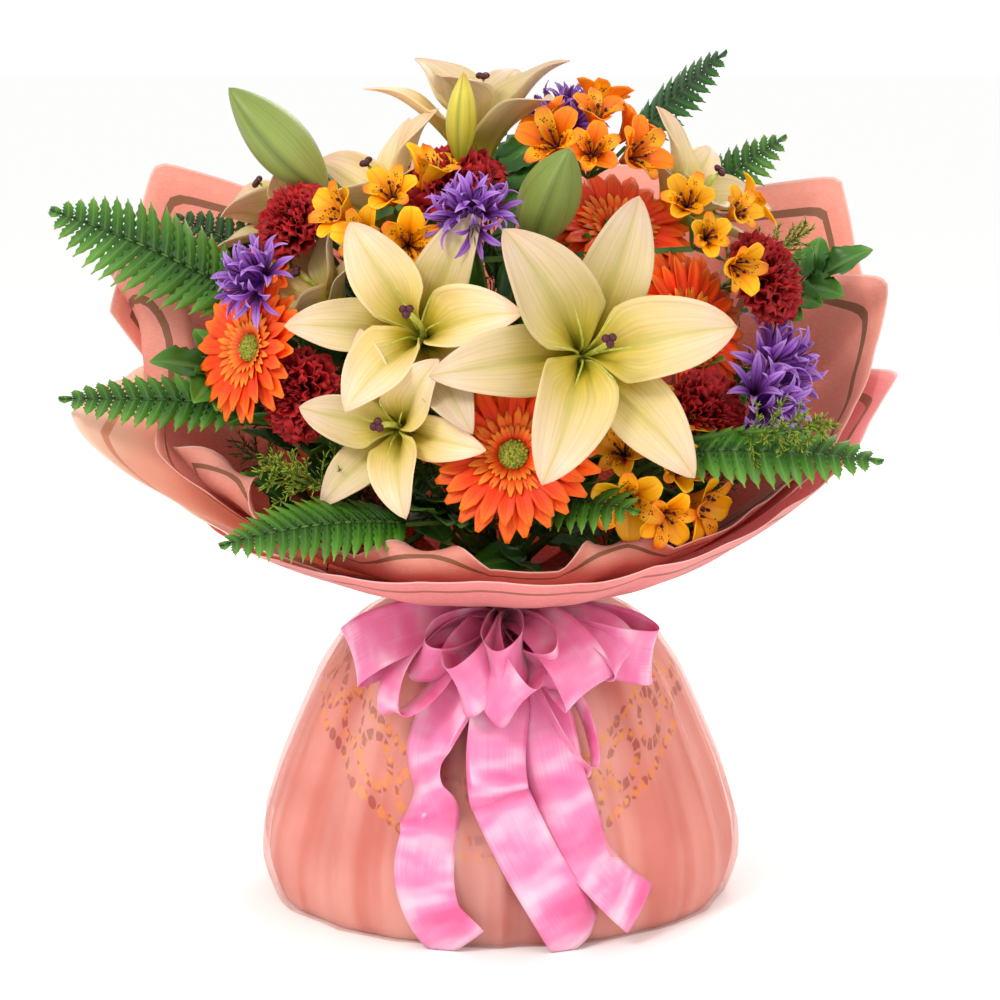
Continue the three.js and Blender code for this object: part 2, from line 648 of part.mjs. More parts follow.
const CARNATIONS = {
  carnation_top: { at: [-26, -62, 412], face: [-4, 50], radius: 31 },
  carnation_left: { at: [-106, -46, 386], face: [-44, 30], radius: 25 },
  carnation_low_left: { at: [-112, -104, 288], face: [-42, 6], radius: 27 },
  carnation_right: { at: [134, -56, 358], face: [52, 26], radius: 28 },
  carnation_low_right: { at: [106, -106, 294], face: [34, 8], radius: 28 },
};

// Floret places in a cluster's own frame: x, y, z, bearing, elevation.
const TRIO = [
  [-19, 4, 18, -78, 50],
  [15, 15, 20, 122, 48],
  [6, -19, 16, 14, 44],
];
const ALSTROEMERIAS = {
  alstroemeria_left: { at: [-62, -84, 388], face: [-14, 46], roll: 0, floret: 30 },
  alstroemeria_top: { at: [34, -36, 436], face: [10, 62], roll: 40, floret: 30 },
  alstroemeria_right: { at: [108, -70, 386], face: [44, 40], roll: 20, floret: 28 },
  alstroemeria_front: { at: [78, -138, 276], face: [26, 16], roll: 60, floret: 30 },
};

const AGAPANTHUS = {
  agapanthus_top: { at: [-12, -104, 392], face: [0, 42], roll: 0, floret: 34 },
  agapanthus_left: { at: [-128, -86, 352], face: [-58, 22], roll: 30, floret: 34 },
  agapanthus_right: { at: [152, -62, 328], face: [66, 20], roll: 10, floret: 36 },
  agapanthus_low_right: { at: [132, -98, 304], face: [50, 6], roll: 50, floret: 34 },
  agapanthus_back: { at: [36, 6, 452], face: [30, 74], roll: 20, floret: 30 },
};

// Fronds and sprigs: root place, bearing and elevation of the line, roll about it, and size. A sprig's
// leaves are given by their length and width.
const FRONDS = {
  fern_left: { at: [-136, -18, 346], run: [-88, 26], roll: -58, length: 124, width: 66, droop: 26 },
  fern_upper_left: { at: [-126, 42, 384], run: [-96, 26], roll: -60, length: 92, width: 44, droop: 14 },
  fern_lower_left: { at: [-136, -44, 300], run: [-80, 4], roll: -50, length: 118, width: 42, droop: 12 },
  fern_front_left: { at: [-52, -140, 246], run: [-58, 2], roll: -36, length: 112, width: 50, droop: 30 },
  fern_front: { at: [22, -136, 260], run: [44, 4], roll: 40, length: 70, width: 46, droop: 24 },
  fern_front_right: { at: [92, -118, 270], run: [70, 2], roll: 42, length: 116, width: 48, droop: 18 },
  fern_upper_right: { at: [106, 62, 402], run: [80, 38], roll: 56, length: 84, width: 44, droop: 12 },
  fern_top_right: { at: [72, 46, 430], run: [66, 44], roll: 50, length: 84, width: 48, droop: 12 },
};

const SPRIGS = {
  leaves_left: { at: [-124, -64, 326], run: [-70, 10], roll: -40, length: 40, leaf: [42, 28] },
  leaves_right: { at: [150, 8, 352], run: [84, 26], roll: 40, length: 44, leaf: [38, 26] },
  leaves_back: { at: [0, 80, 390], run: [180, 62], roll: 0, length: 60, leaf: [50, 30] },
  leaves_low_left: { at: [-20, -84, 240], run: [-24, 14], roll: -20, length: 52, leaf: [44, 28] },
  leaves_low_right: { at: [60, -76, 244], run: [40, 14], roll: 20, length: 52, leaf: [44, 28] },
  leaves_middle: { at: [8, -72, 330], run: [-10, 40], roll: 0, length: 40, leaf: [36, 22] },
};

const PLUMES = {
  filler_left: { at: [-88, -126, 276], face: [-40, 12], length: 54, needles: 15, reach: 24 },
  filler_right: { at: [136, -2, 368], face: [84, 34], length: 62, needles: 15, reach: 26 },
  filler_low_right: { at: [112, -124, 280], face: [48, 8], length: 56, needles: 15, reach: 22 },
  filler_top_left: { at: [-84, -46, 398], face: [-40, 60], length: 38, needles: 13, reach: 17 },
};

// ---- Assembly ----
const bouquet = new THREE.Group();
const placed = []; // solids in place, in the bouquet's frame

// The pieces among `others` that a solid comes too near to.
function tooNear(solid, others) {
  const box = solid.boundingBox();
  return others.filter(({ solid: other }) => {
    const near = other.boundingBox();
    const far = [0, 1, 2].some((k) => box.min[k] - GAP > near.max[k] || near.min[k] - GAP > box.max[k]);
    return !far && solid.minGap(other, GAP) < GAP * 0.9;
  });
}

function add(name, solid, colour, matrix = new THREE.Matrix4()) {
  const mesh = new THREE.Mesh(
    geometryOf(solid),
    new THREE.MeshStandardMaterial({ color: colour, roughness: 0.7, metalness: 0, side: THREE.FrontSide }),
  );
  mesh.name = name;
  mesh.applyMatrix4(matrix);
  bouquet.add(mesh);
  placed.push({ name, solid: moved(solid, matrix) });
}

// How far a place in the search is from the one that was meant.
function effort([turn, slide, twist]) {
  return Math.abs(turn) * 4 + Math.abs(slide) + Math.abs(twist) / 4;
}

// A florist slides each stem up or down in the bunch, and turns it, until its flower sits clear of others.
const NECK = point(0, 0, NECK_Z);
const SLIDES = [0, 4, -4, 8, -8, 12, -12, 17, -17, 22, -22, 28, -28, 34, -34, 40, -40];
const TURNS = [0, 5, -5, 10, -10];
const ROLLS = [0, 30];
const SEARCH = TURNS.flatMap((turn) =>
  SLIDES.flatMap((slide) => ROLLS.map((twist) => [turn, slide, twist])),
).sort((a, b) => effort(a) - effort(b));
const ways = []; // the stems so far

function settle(name, solid, colour, { at, direction, roll = 0, thick, shoot = false, stand = pose }) {
  const base = stand === pose ? solid.boundingBox().min[2] : solid.boundingBox().min[0];
  let tries = 0;
  for (const [turn, slide, twist] of SEARCH) {
    const place = point(...at).sub(NECK);
    place.setLength(place.length() + slide).applyAxisAngle(UP, rad(turn)).add(NECK);
    const matrix = stand(place, direction, roll + twist);
    const flower = moved(solid, matrix);
    if (tooNear(flower, [...placed, ...ways]).length) continue;
    const head = place.clone().addScaledVector(direction, base - GAP);
    const way = stem(head, direction, thick, flower, shoot);
    if (!way && ++tries > 30) break;
    if (!way) continue;
    add(name, solid, colour, matrix);
    ways.push({ name: `${name}_stem`, solid: way });
    return;
  }
  throw new Error(`no room for ${name}`);
}

// Lays a form that grows along +X, with its upper side up, along a direction.
function layAlong(place, direction, roll) {
  const across = UP.clone().cross(direction).normalize();
  const turn = new THREE.Matrix4().makeBasis(direction, across, direction.clone().cross(across));
  return turn.multiply(new THREE.Matrix4().makeRotationX(rad(roll))).setPosition(place);
}

const facing = (spec, thick) => ({ ...spec, direction: heading(...spec.face), thick });
const running = (spec, thick) => {
  return { ...spec, direction: heading(...spec.run), thick, shoot: true, stand: layAlong };
};

// Places of the stems in the tie, packed as seeds are in a head.
const STEMS = 48;
const free = Array.from({ length: STEMS }, (_, i) =>
  around(137.508 * i, BUNCH_RADIUS * 0.7 * Math.sqrt((i + 0.6) / STEMS), NECK_Z + 7),
);

// Ways for a stem to leave a flower, from straight behind it to well aside: lean from straight, turn.
const EXITS = [0, 35, 70].flatMap((lean) => (lean ? [0, 90, 180, 270] : [0]).map((turn) => [lean, turn]));
// Ways to swing round what stands between it and the tie: sideways and up, in millimetres.
const SWINGS = [0, 14, -14, 30, -30].flatMap((aside) => [0, 14, -14, 30, -30].map((lift) => [aside, lift]));
SWINGS.sort((a, b) => Math.abs(a[0]) + Math.abs(a[1]) - Math.abs(b[0]) - Math.abs(b[1]));

const lines = []; // points along the stems that run to the tie, where side shoots may branch off

// A stem from a flower's base down through the tie to its cut end, or to a neighbour that it branches from:
// the first way that is clear of every flower.
function stem(head, direction, thick, flower, shoot) {
  const wanted = head.clone().setZ(0).multiplyScalar(BUNCH_RADIUS / 170).setZ(NECK_Z + 7);
  free.sort((a, b) => a.distanceTo(wanted) - b.distanceTo(wanted));
  const [top] = free;
  const foot = top.clone().multiplyScalar(STEM_SPREAD).applyAxisAngle(UP, rad(STEM_TWIST)).setZ(-4);
  const sideways = head.clone().setZ(0).cross(UP).normalize();
  const clear = (way) => !tooNear(way, placed).length && way.minGap(flower, GAP) > GAP / 2;
  const behind = direction.clone().negate();
  const exits = [16, 8]
    .flatMap((length) =>
      EXITS.map(([lean, turn]) => {
        const axis = sideways.clone().projectOnPlane(behind).normalize();
        axis.applyAxisAngle(behind, rad(turn));
        return behind.clone().applyAxisAngle(axis, rad(lean)).multiplyScalar(length).add(head);
      }),
    )
    .filter((exit) => clear(stalk([head, exit], thick)));
  const swung = (exit, share, aside, lift) => {
    const middle = exit.clone().lerp(top, share);
    middle.addScaledVector(sideways, aside).addScaledVector(UP, lift);
    return aside || lift ? [head, exit, middle, top, foot] : [head, exit, top, foot];
  };
  const routes = exits.flatMap((exit) =>
    [0.5, 0.75].flatMap((share) => SWINGS.map(([aside, lift]) => swung(exit, share, aside, lift))),
  );
  for (const points of shoot ? [] : routes) {
    const way = stalk(points, thick);
    if (!clear(way)) continue;
    free.shift();
    for (let i = 1; i < points.length - 2; i++)
      for (let t = 0; t < 1; t += 0.1) lines.push(points[i].clone().lerp(points[i + 1], t));
    return way.trimByPlane([0, 0, 1], 0.8);
  }
  const nearest = lines
    .filter((p) => p.z < head.z - 8)
    .sort((a, b) => a.distanceTo(head) - b.distanceTo(head));
  for (const joint of nearest.slice(0, 90))
    for (const exit of exits) {
      const way = stalk([head, exit, joint], thick);
      if (clear(way)) return way;
    }
  return null;
}

// The wrapping goes on first, then the flowers from the most prominent to the least, then the foliage.
add("skirt_outer", skirtSheet({ layer: 1, inset: 0, hem: 0, sides: 2 * PLEATS }), COLOUR.sheet);
add("skirt_lining", skirtSheet({ layer: 0, inset: 3.2, hem: 1, sides: PLEATS }), COLOUR.lining);
for (const [name, spec] of Object.entries(COLLAR)) add(name, collarSheet(spec), COLOUR.sheet);
const twine = [BINDING.inner, BINDING.outer, NECK_Z - BINDING.half, NECK_Z + BINDING.half];
add("binding", band(...twine, 12), COLOUR.twine);
add("ribbon_bow", ribbon(), COLOUR.ribbon);

for (const [name, spec] of Object.entries(LILIES))
  settle(name, lily(spec), COLOUR.lily, facing(spec, 2.8));
for (const [name, spec] of Object.entries(GERBERAS))
  settle(name, gerbera(spec), COLOUR.gerbera, facing(spec, 2.4));
Object.entries(CARNATIONS).forEach(([name, spec], i) =>
  settle(name, carnation({ ...spec, seed: i + 1 }), COLOUR.carnation, facing(spec, 2)),
);
for (const [name, spec] of Object.entries(BUDS))
  settle(name, lilyBud(spec), COLOUR.bud, facing(spec, 2.6));
for (const [name, spec] of Object.entries(ALSTROEMERIAS)) {
  const made = cluster(TRIO, () => alstroemeriaFloret(spec.floret), 2.2);
  settle(name, made, COLOUR.alstroemeria, facing(spec, 1.9));
}
for (const [name, spec] of Object.entries(AGAPANTHUS))
  settle(name, agapanthus(spec), COLOUR.agapanthus, facing(spec, 2.4));
for (const [name, spec] of Object.entries(FRONDS))
  settle(name, frond(spec), COLOUR.fern, running(spec, 1.6));
for (const [name, spec] of Object.entries(SPRIGS))
  settle(name, sprig(spec), COLOUR.leaf, running(spec, 1.6));
Object.entries(PLUMES).forEach(([name, spec], i) =>
  settle(name, plume({ ...spec, seed: i + 1 }), COLOUR.filler, { ...facing(spec, 1.6), shoot: true }),
);

const pressed = stalk([point(0, 0, NECK_Z + 20), point(0, 0, NECK_Z - 30)], BUNCH_RADIUS, 10);
const centre = stalk([point(0, 0, NECK_Z), point(0, 0, 0)], 4, 6);
add("stems", fuse([centre, pressed, ...ways.map((way) => way.solid)], COARSE), COLOUR.stem);

export default bouquet;
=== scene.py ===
"""Dresses a standing mixed bouquet: blooms, foliage, wrapping sheets, satin bow, floor, light and camera.

Formulas are in millimetres in the bouquet's own frame: +Z up from the surface it stands on, front towards -Y.
Vertices are written in metres.
"""

import math
import random

import bmesh
import bpy
from mathutils import Matrix, Vector


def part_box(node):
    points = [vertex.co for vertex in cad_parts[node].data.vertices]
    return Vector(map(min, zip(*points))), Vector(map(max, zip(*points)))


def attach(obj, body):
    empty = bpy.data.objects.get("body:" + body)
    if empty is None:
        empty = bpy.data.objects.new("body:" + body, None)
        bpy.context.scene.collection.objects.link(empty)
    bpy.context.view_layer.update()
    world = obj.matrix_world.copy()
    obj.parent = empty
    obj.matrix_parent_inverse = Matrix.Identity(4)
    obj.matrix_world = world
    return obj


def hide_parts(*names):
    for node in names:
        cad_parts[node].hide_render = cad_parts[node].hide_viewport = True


bl_info = {
    "name": "Mixed flower bouquet",
    "version": (1, 0, 0),
    "blender": (4, 5, 0),
    "location": "3D View > Sidebar > Bouquet",
    "description": "Blooms, foliage, wrap and ribbon of a standing mixed bouquet",
    "category": "Add Mesh",
}

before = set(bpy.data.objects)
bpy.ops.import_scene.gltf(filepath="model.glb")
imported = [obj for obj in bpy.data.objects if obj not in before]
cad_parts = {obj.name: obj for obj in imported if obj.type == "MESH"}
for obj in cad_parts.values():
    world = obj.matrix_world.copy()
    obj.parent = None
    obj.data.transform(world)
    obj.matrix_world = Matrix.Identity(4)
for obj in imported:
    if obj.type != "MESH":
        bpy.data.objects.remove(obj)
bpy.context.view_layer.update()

MM = 0.001
UP = Vector((0, 0, 1))
GOLDEN_ANGLE = 137.508  # degrees between one floret or leaf and the next
WELD = 2e-6  # metres within which the seam of a closed grid is merged


# ---- Numbers and directions ----


def linear(code):
    """Linear red, green and blue of an sRGB hex colour."""
    channels = [int(code[i : i + 2], 16) / 255 for i in (0, 2, 4)]
    return tuple(c / 12.92 if c <= 0.04045 else ((c + 0.055) / 1.055) ** 2.4 for c in channels)


def mix(a, b, share):
    return a + (b - a) * share


def clamp(x, low=0.0, high=1.0):
    return min(max(x, low), high)


def ease(low, high, x):
    t = clamp((x - low) / (high - low))
    return t * t * (3 - 2 * t)


def heading(bearing, elevation=0.0):
    """Unit vector at a bearing from the front, positive towards +X, and an elevation, in degrees."""
    b, e = math.radians(bearing), math.radians(elevation)
    return Vector((math.sin(b) * math.cos(e), -math.cos(b) * math.cos(e), math.sin(e)))


def around(bearing, radius, z):
    return heading(bearing) * radius + UP * z


def facing(direction, roll):
    """Turns +Z to a direction after a roll about +Z."""
    turn = UP.rotation_difference(direction).to_matrix().to_4x4()
    return turn @ Matrix.Rotation(math.radians(roll), 4, "Z")


def lying(direction, roll):
    """Turns +X to a direction, with +Z kept on the upper side, after a roll about +X."""
    across = UP.cross(direction).normalized()
    basis = Matrix((direction, across, direction.cross(across))).transposed().to_4x4()
    return basis @ Matrix.Rotation(math.radians(roll), 4, "X")


def along_table(table, x):
    """Value of a table of (x, y, ...) rows at x, straight between its rows."""
    low, high = table[0], table[-1]
    for a, b in zip(table, table[1:]):
        if a[0] <= x <= b[0]:
            low, high = a, b
            break
    share = clamp((x - low[0]) / max(high[0] - low[0], 1e-9))
    return [mix(p, q, share) for p, q in zip(low[1:], high[1:])]


def curve_point(points, t):
    """Point at t from 0 to 1 on a smooth curve through points, evenly over its knots."""
    x = clamp(t) * (len(points) - 1)
    i = min(int(x), len(points) - 2)
    f = x - i
    p1, p2 = points[i], points[i + 1]
    p0 = points[i - 1] if i else p1 * 2 - p2
    p3 = points[i + 2] if i + 2 < len(points) else p2 * 2 - p1
    a, b = p2 - p0, p0 * 2 - p1 * 5 + p2 * 4 - p3
    c = p1 * 3 - p0 - p2 * 3 + p3
    return p1 + (a * f + b * f * f + c * f * f * f) * 0.5


def curve_heading(points, t):
    return (curve_point(points, min(t + 0.01, 1)) - curve_point(points, max(t - 0.01, 0))).normalized()


# ---- Building pieces ----


def new_mesh():
    """A bmesh with a UV map that runs across and along each sheet, and one that holds its tone."""
    bm = bmesh.new()
    bm.loops.layers.uv.new("Along")
    bm.loops.layers.uv.new("Tone")
    return bm


def join(bm, part, matrix=None):
    """Adds a part to a mesh, turned and moved in millimetres, and frees the part."""
    if matrix:
        metres = Matrix.Translation(matrix.to_translation() * MM) @ matrix.to_3x3().to_4x4()
        bmesh.ops.transform(part, matrix=metres, verts=part.verts[:])
    mesh = bpy.data.meshes.new("part")
    part.to_mesh(mesh)
    part.free()
    bm.from_mesh(mesh)
    bpy.data.meshes.remove(mesh)


def paint(faces, slot, tone, layer):
    """Gives faces their material, their tone and smooth shading."""
    for face in faces:
        face.smooth = True
        face.material_index = slot
        for loop in face.loops:
            loop[layer].uv = (tone, tone)


def thicken(part, thick):
    """Gives an open sheet a second face, a thickness away from the first, and closes its edges."""
    made = bmesh.ops.extrude_face_region(part, geom=part.faces[:], use_keep_orig=True)
    for vert in made["geom"]:
        if isinstance(vert, bmesh.types.BMVert):
            vert.co -= vert.normal * thick * MM
    bmesh.ops.recalc_face_normals(part, faces=part.faces[:])


def sheet(bm, surface, rows, columns, slot=0, tone=0.5, cloth=None, thick=0.0, weld=False, flip=False):
    """Adds a grid shaped by surface(u, v): u from root 0 to tip 1, v from edge -1 to edge 1."""
    part = new_mesh()
    made = bmesh.ops.create_grid(part, x_segments=columns, y_segments=rows, size=1.0)
    grid = {vert: (vert.co.y * 0.5 + 0.5, vert.co.x) for vert in made["verts"]}
    along, shade = part.loops.layers.uv["Along"], part.loops.layers.uv["Tone"]
    paint(part.faces, slot, tone, shade)
    for face in part.faces:
        for loop in face.loops:
            u, v = grid[loop.vert]
            loop[along].uv = cloth(u, v) if cloth else (v * 0.5 + 0.5, u)
    for vert, (u, v) in grid.items():
        vert.co = surface(u, v) * MM
    if weld:
        bmesh.ops.remove_doubles(part, verts=part.verts[:], dist=WELD)
    part.normal_update()
    if flip:
        bmesh.ops.reverse_faces(part, faces=part.faces[:])
    if thick:
        thicken(part, thick)
    join(bm, part)


def tube(bm, points, start, end, sides=6, rows=8, slot=0, tone=0.5):
    """Adds a round rod along a smooth curve, closed at its ends, whose radius goes evenly from start to end."""
    side = Vector((0.31, 0.17, 0.93))

    def surface(u, v):
        head = curve_heading(points, u)
        across = head.cross(side).normalized()
        angle = math.pi * v
        ring = across * math.cos(angle) + head.cross(across) * math.sin(angle)
        radius = 0 if u in (0, 1) else mix(start, end, u)
        return curve_point(points, u) + ring * radius

    sheet(bm, surface, rows, sides, slot, tone, weld=True)


def ball(bm, centre, radius, slot=0, tone=0.5, stretch=(1, 1, 1), rings=6):
    """Adds a small round body."""
    part = new_mesh()
    place = Matrix.Translation(centre * MM) @ Matrix.Diagonal((*stretch, 1))
    bmesh.ops.create_uvsphere(part, u_segments=rings + 2, v_segments=rings, radius=radius * MM, matrix=place)
    paint(part.faces, slot, tone, part.loops.layers.uv["Tone"])
    join(bm, part)


# How far a piece's middle is from its solid's, in millimetres, where it leans out or hangs.
LEAN = {
    "lily_front": (0, -16, 0),
    "lily_centre": (4, -10, -3),
    "lily_low": (15, -2, 3),
    "lily_top": (0, 0, 5),
    "lily_right": (2, -14, -4),
    "bud_left": (6, 0, -12),
    "bud_right": (4, 0, -10),
    "gerbera_far_left": (0, -14, 8),
    "carnation_top": (-2, -16, 22),
    "carnation_low_left": (6, -8, 26),
    "carnation_low_right": (6, -8, 8),
    "alstroemeria_left": (-6, 0, -4),
    "alstroemeria_top": (5, -10, -9),
    "alstroemeria_right": (-12, 0, -8),
    "alstroemeria_front": (2, 6, -8),
    "agapanthus_top": (-2, 4, -14),
    "agapanthus_left": (24, -4, -8),
    "fern_front_right": (-16, 0, 0),
    "leaves_left": (-8, -10, 2),
    "filler_left": (-22, -26, 8),
    "filler_right": (-8, -12, -4),
}


def settle(bm, node, turn):
    """Turns a mesh, and moves it so that its box is centred where the solid's is, give or take its lean."""
    bmesh.ops.transform(bm, matrix=turn, verts=bm.verts[:])
    low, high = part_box(node)
    least = Vector(min(vert.co[axis] for vert in bm.verts) for axis in range(3))
    most = Vector(max(vert.co[axis] for vert in bm.verts) for axis in range(3))
    shift = (low + high) / 2 - (least + most) / 2 + Vector(LEAN.get(node, (0, 0, 0))) * MM
    bmesh.ops.translate(bm, vec=shift, verts=bm.verts[:])


def finish_piece(name, bm, finishes, nodes=(), thickness=None):
    """Makes the mesh an object that rides on the frame and stands for its solids."""
    mesh = bpy.data.meshes.new(name)
    bm.to_mesh(mesh)
    bm.free()
    for material in finishes:
        mesh.materials.append(finish(material))
    piece = bpy.data.objects.new(name, mesh)
    bpy.context.scene.collection.objects.link(piece)
    if thickness:
        wall = piece.modifiers.new("Thickness", "SOLIDIFY")
        wall.thickness = thickness * MM
        wall.offset = 0
    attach(piece, "root")
    if nodes:
        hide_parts(*nodes)
    return piece


def dress(bm, node, turn, ending, finishes, thickness=None):
    """Settles a mesh where its solid is, and finishes it as the piece that stands for the solid."""
    settle(bm, node, turn)
    finish_piece(node + ending, bm, finishes, [node], thickness)


# ---- Materials ----
# Object coordinates are metres, so a scale of 90 gives patches about 11 mm across. Along runs from 0 to 1 over a
# petal, and is in millimetres on the wrapping sheets and the ribbon, where a scale of 2 gives threads 0.5 mm apart.


def node(tree, kind, inputs=None, **settings):
    """Adds a node with its settings, and sets or links its inputs."""
    made = tree.nodes.new(kind)
    for name, value in settings.items():
        setattr(made, name, value)
    for name, value in (inputs or {}).items():
        if isinstance(value, bpy.types.NodeSocket):
            tree.links.new(value, made.inputs[name])
        else:
            made.inputs[name].default_value = value
    return made


def ramp(tree, factor, stops):
    """Colours along a factor, from (place, hex) stops."""
    made = node(tree, "ShaderNodeValToRGB", {"Fac": factor})
    elements = made.color_ramp.elements
    while len(elements) < len(stops):
        elements.new(0.5)
    for element, (place, code) in zip(elements, stops):
        element.position = place
        element.color = (*linear(code), 1)
    return made.outputs["Color"]


def blend_colour(tree, factor, first, second, how="MIX"):
    made = node(tree, "ShaderNodeMix", {"Factor": factor}, data_type="RGBA", blend_type=how)
    for socket, value in ((made.inputs[6], first), (made.inputs[7], second)):
        if isinstance(value, bpy.types.NodeSocket):
            tree.links.new(value, socket)
        else:
            socket.default_value = (*linear(value), 1)
    return made.outputs[2]


def calc(tree, how, *values):
    made = node(tree, "ShaderNodeMath", operation=how)
    for socket, value in zip(made.inputs, values):
        if isinstance(value, bpy.types.NodeSocket):
            tree.links.new(value, socket)
        else:
            socket.default_value = value
    return made.outputs[0]


def start_material(name):
    material = bpy.data.materials.new(name)
    material.use_nodes = True
    material.node_tree.nodes.clear()
    return material, material.node_tree


def end_material(tree, colour, roughness, normal=None, through=0.0, alpha=1.0, sheen=0.0, coat=0.0):
    """The shader: a satin surface, and light that comes through a thin one."""
    inputs = {"Base Color": colour, "Roughness": roughness, "IOR": 1.42, "Alpha": alpha}
    inputs["Sheen Weight"] = sheen
    inputs["Coat Weight"] = coat
    inputs["Coat Roughness"] = 0.25
    if normal:
        inputs["Normal"] = normal
    surface = node(tree, "ShaderNodeBsdfPrincipled", inputs).outputs[0]
    if through:
        behind = node(tree, "ShaderNodeBsdfTranslucent", {"Color": colour}).outputs[0]
        joined = node(tree, "ShaderNodeMixShader", {0: through})
        tree.links.new(surface, joined.inputs[1])
        tree.links.new(behind, joined.inputs[2])
        surface = joined.outputs[0]
        if alpha < 1:
            clear = node(tree, "ShaderNodeBsdfTransparent").outputs[0]
            open_weave = node(tree, "ShaderNodeMixShader", {0: alpha})
            tree.links.new(clear, open_weave.inputs[1])
            tree.links.new(surface, open_weave.inputs[2])
            surface = open_weave.outputs[0]
    node(tree, "ShaderNodeOutputMaterial", {"Surface": surface})


def petal_material(name, stops, rib, rib_strength, veins, roughness, through, flecks=None):
    """Living petal or leaf: colour from root to tip, a middle rib, lengthwise veins, and a tone for each.

    veins is how many of them lie side by side. rib_strength and through run from 0 to 1.
    """
    material, tree = start_material(name)
    place = node(tree, "ShaderNodeUVMap", uv_map="Along").outputs[0]
    parts = node(tree, "ShaderNodeSeparateXYZ", {"Vector": place}).outputs
    tone = node(tree, "ShaderNodeUVMap", uv_map="Tone").outputs[0]
    tone = node(tree, "ShaderNodeSeparateXYZ", {"Vector": tone}).outputs[0]
    cells = node(tree, "ShaderNodeTexCoord").outputs["Object"]
    cloud = node(tree, "ShaderNodeTexNoise", {"Vector": cells, "Scale": 90.0, "Detail": 3.0}).outputs["Fac"]
    shifted = calc(tree, "MULTIPLY_ADD", calc(tree, "SUBTRACT", cloud, 0.5), 0.22, parts[1])
    colour = ramp(tree, shifted, stops)
    middle = calc(tree, "ABSOLUTE", calc(tree, "SUBTRACT", parts[0], 0.5))
    line = calc(tree, "SUBTRACT", 1.0, calc(tree, "MULTIPLY", middle, 9.0))
    line = calc(tree, "MULTIPLY", calc(tree, "MAXIMUM", line, 0.0), rib_strength)
    colour = blend_colour(tree, line, colour, rib)
    stretch = node(tree, "ShaderNodeMapping", {"Vector": place, "Scale": (veins, 1.6, 1)}).outputs[0]
    grain = node(tree, "ShaderNodeTexNoise", {"Vector": stretch, "Scale": 1.0, "Detail": 3.0}).outputs["Fac"]
    shade = calc(tree, "MULTIPLY_ADD", grain, 0.5, 0.72)
    shade = calc(tree, "MULTIPLY", shade, calc(tree, "MULTIPLY_ADD", tone, 0.36, 0.84))
    shade = node(tree, "ShaderNodeCombineColor", {0: shade, 1: shade, 2: shade}).outputs[0]
    colour = blend_colour(tree, 1.0, colour, shade, "MULTIPLY")
    if flecks:
        spots = node(tree, "ShaderNodeMapping", {"Vector": place, "Scale": (7, 16, 1)}).outputs[0]
        cell = node(tree, "ShaderNodeTexVoronoi", {"Vector": spots, "Scale": 1.0}).outputs["Distance"]
        spot = calc(tree, "LESS_THAN", cell, 0.3)
        past_root = calc(tree, "GREATER_THAN", parts[1], 0.3)
        zone = calc(tree, "MULTIPLY", past_root, calc(tree, "LESS_THAN", parts[1], 0.8))
        colour = blend_colour(tree, calc(tree, "MULTIPLY", spot, zone), colour, flecks)
    bump = node(tree, "ShaderNodeBump", {"Height": grain, "Strength": 0.35, "Distance": 0.0006}).outputs[0]
    end_material(tree, colour, roughness, bump, through=through)
    return material


def smooth_material(name, dark, light, clouds, roughness, through=0.0, bump_mm=0.2):
    """Two-tone finish for stems, filaments, eyes and twine, with a number of clouds to each metre."""
    material, tree = start_material(name)
    place = node(tree, "ShaderNodeTexCoord").outputs["Object"]
    cloud = node(tree, "ShaderNodeTexNoise", {"Vector": place, "Scale": clouds, "Detail": 4.0}).outputs["Fac"]
    colour = ramp(tree, cloud, [(0.35, dark), (0.65, light)])
    bump = node(tree, "ShaderNodeBump", {"Height": cloud, "Strength": 0.4, "Distance": bump_mm * MM}).outputs[0]
    end_material(tree, colour, roughness, bump, through=through)
    return material


# The wrap's printed line and its pale cut edge, in millimetres.
LINE_FROM_EDGE = 13.0
LINE_HALF = 1.6
CUT_EDGE = 0.9


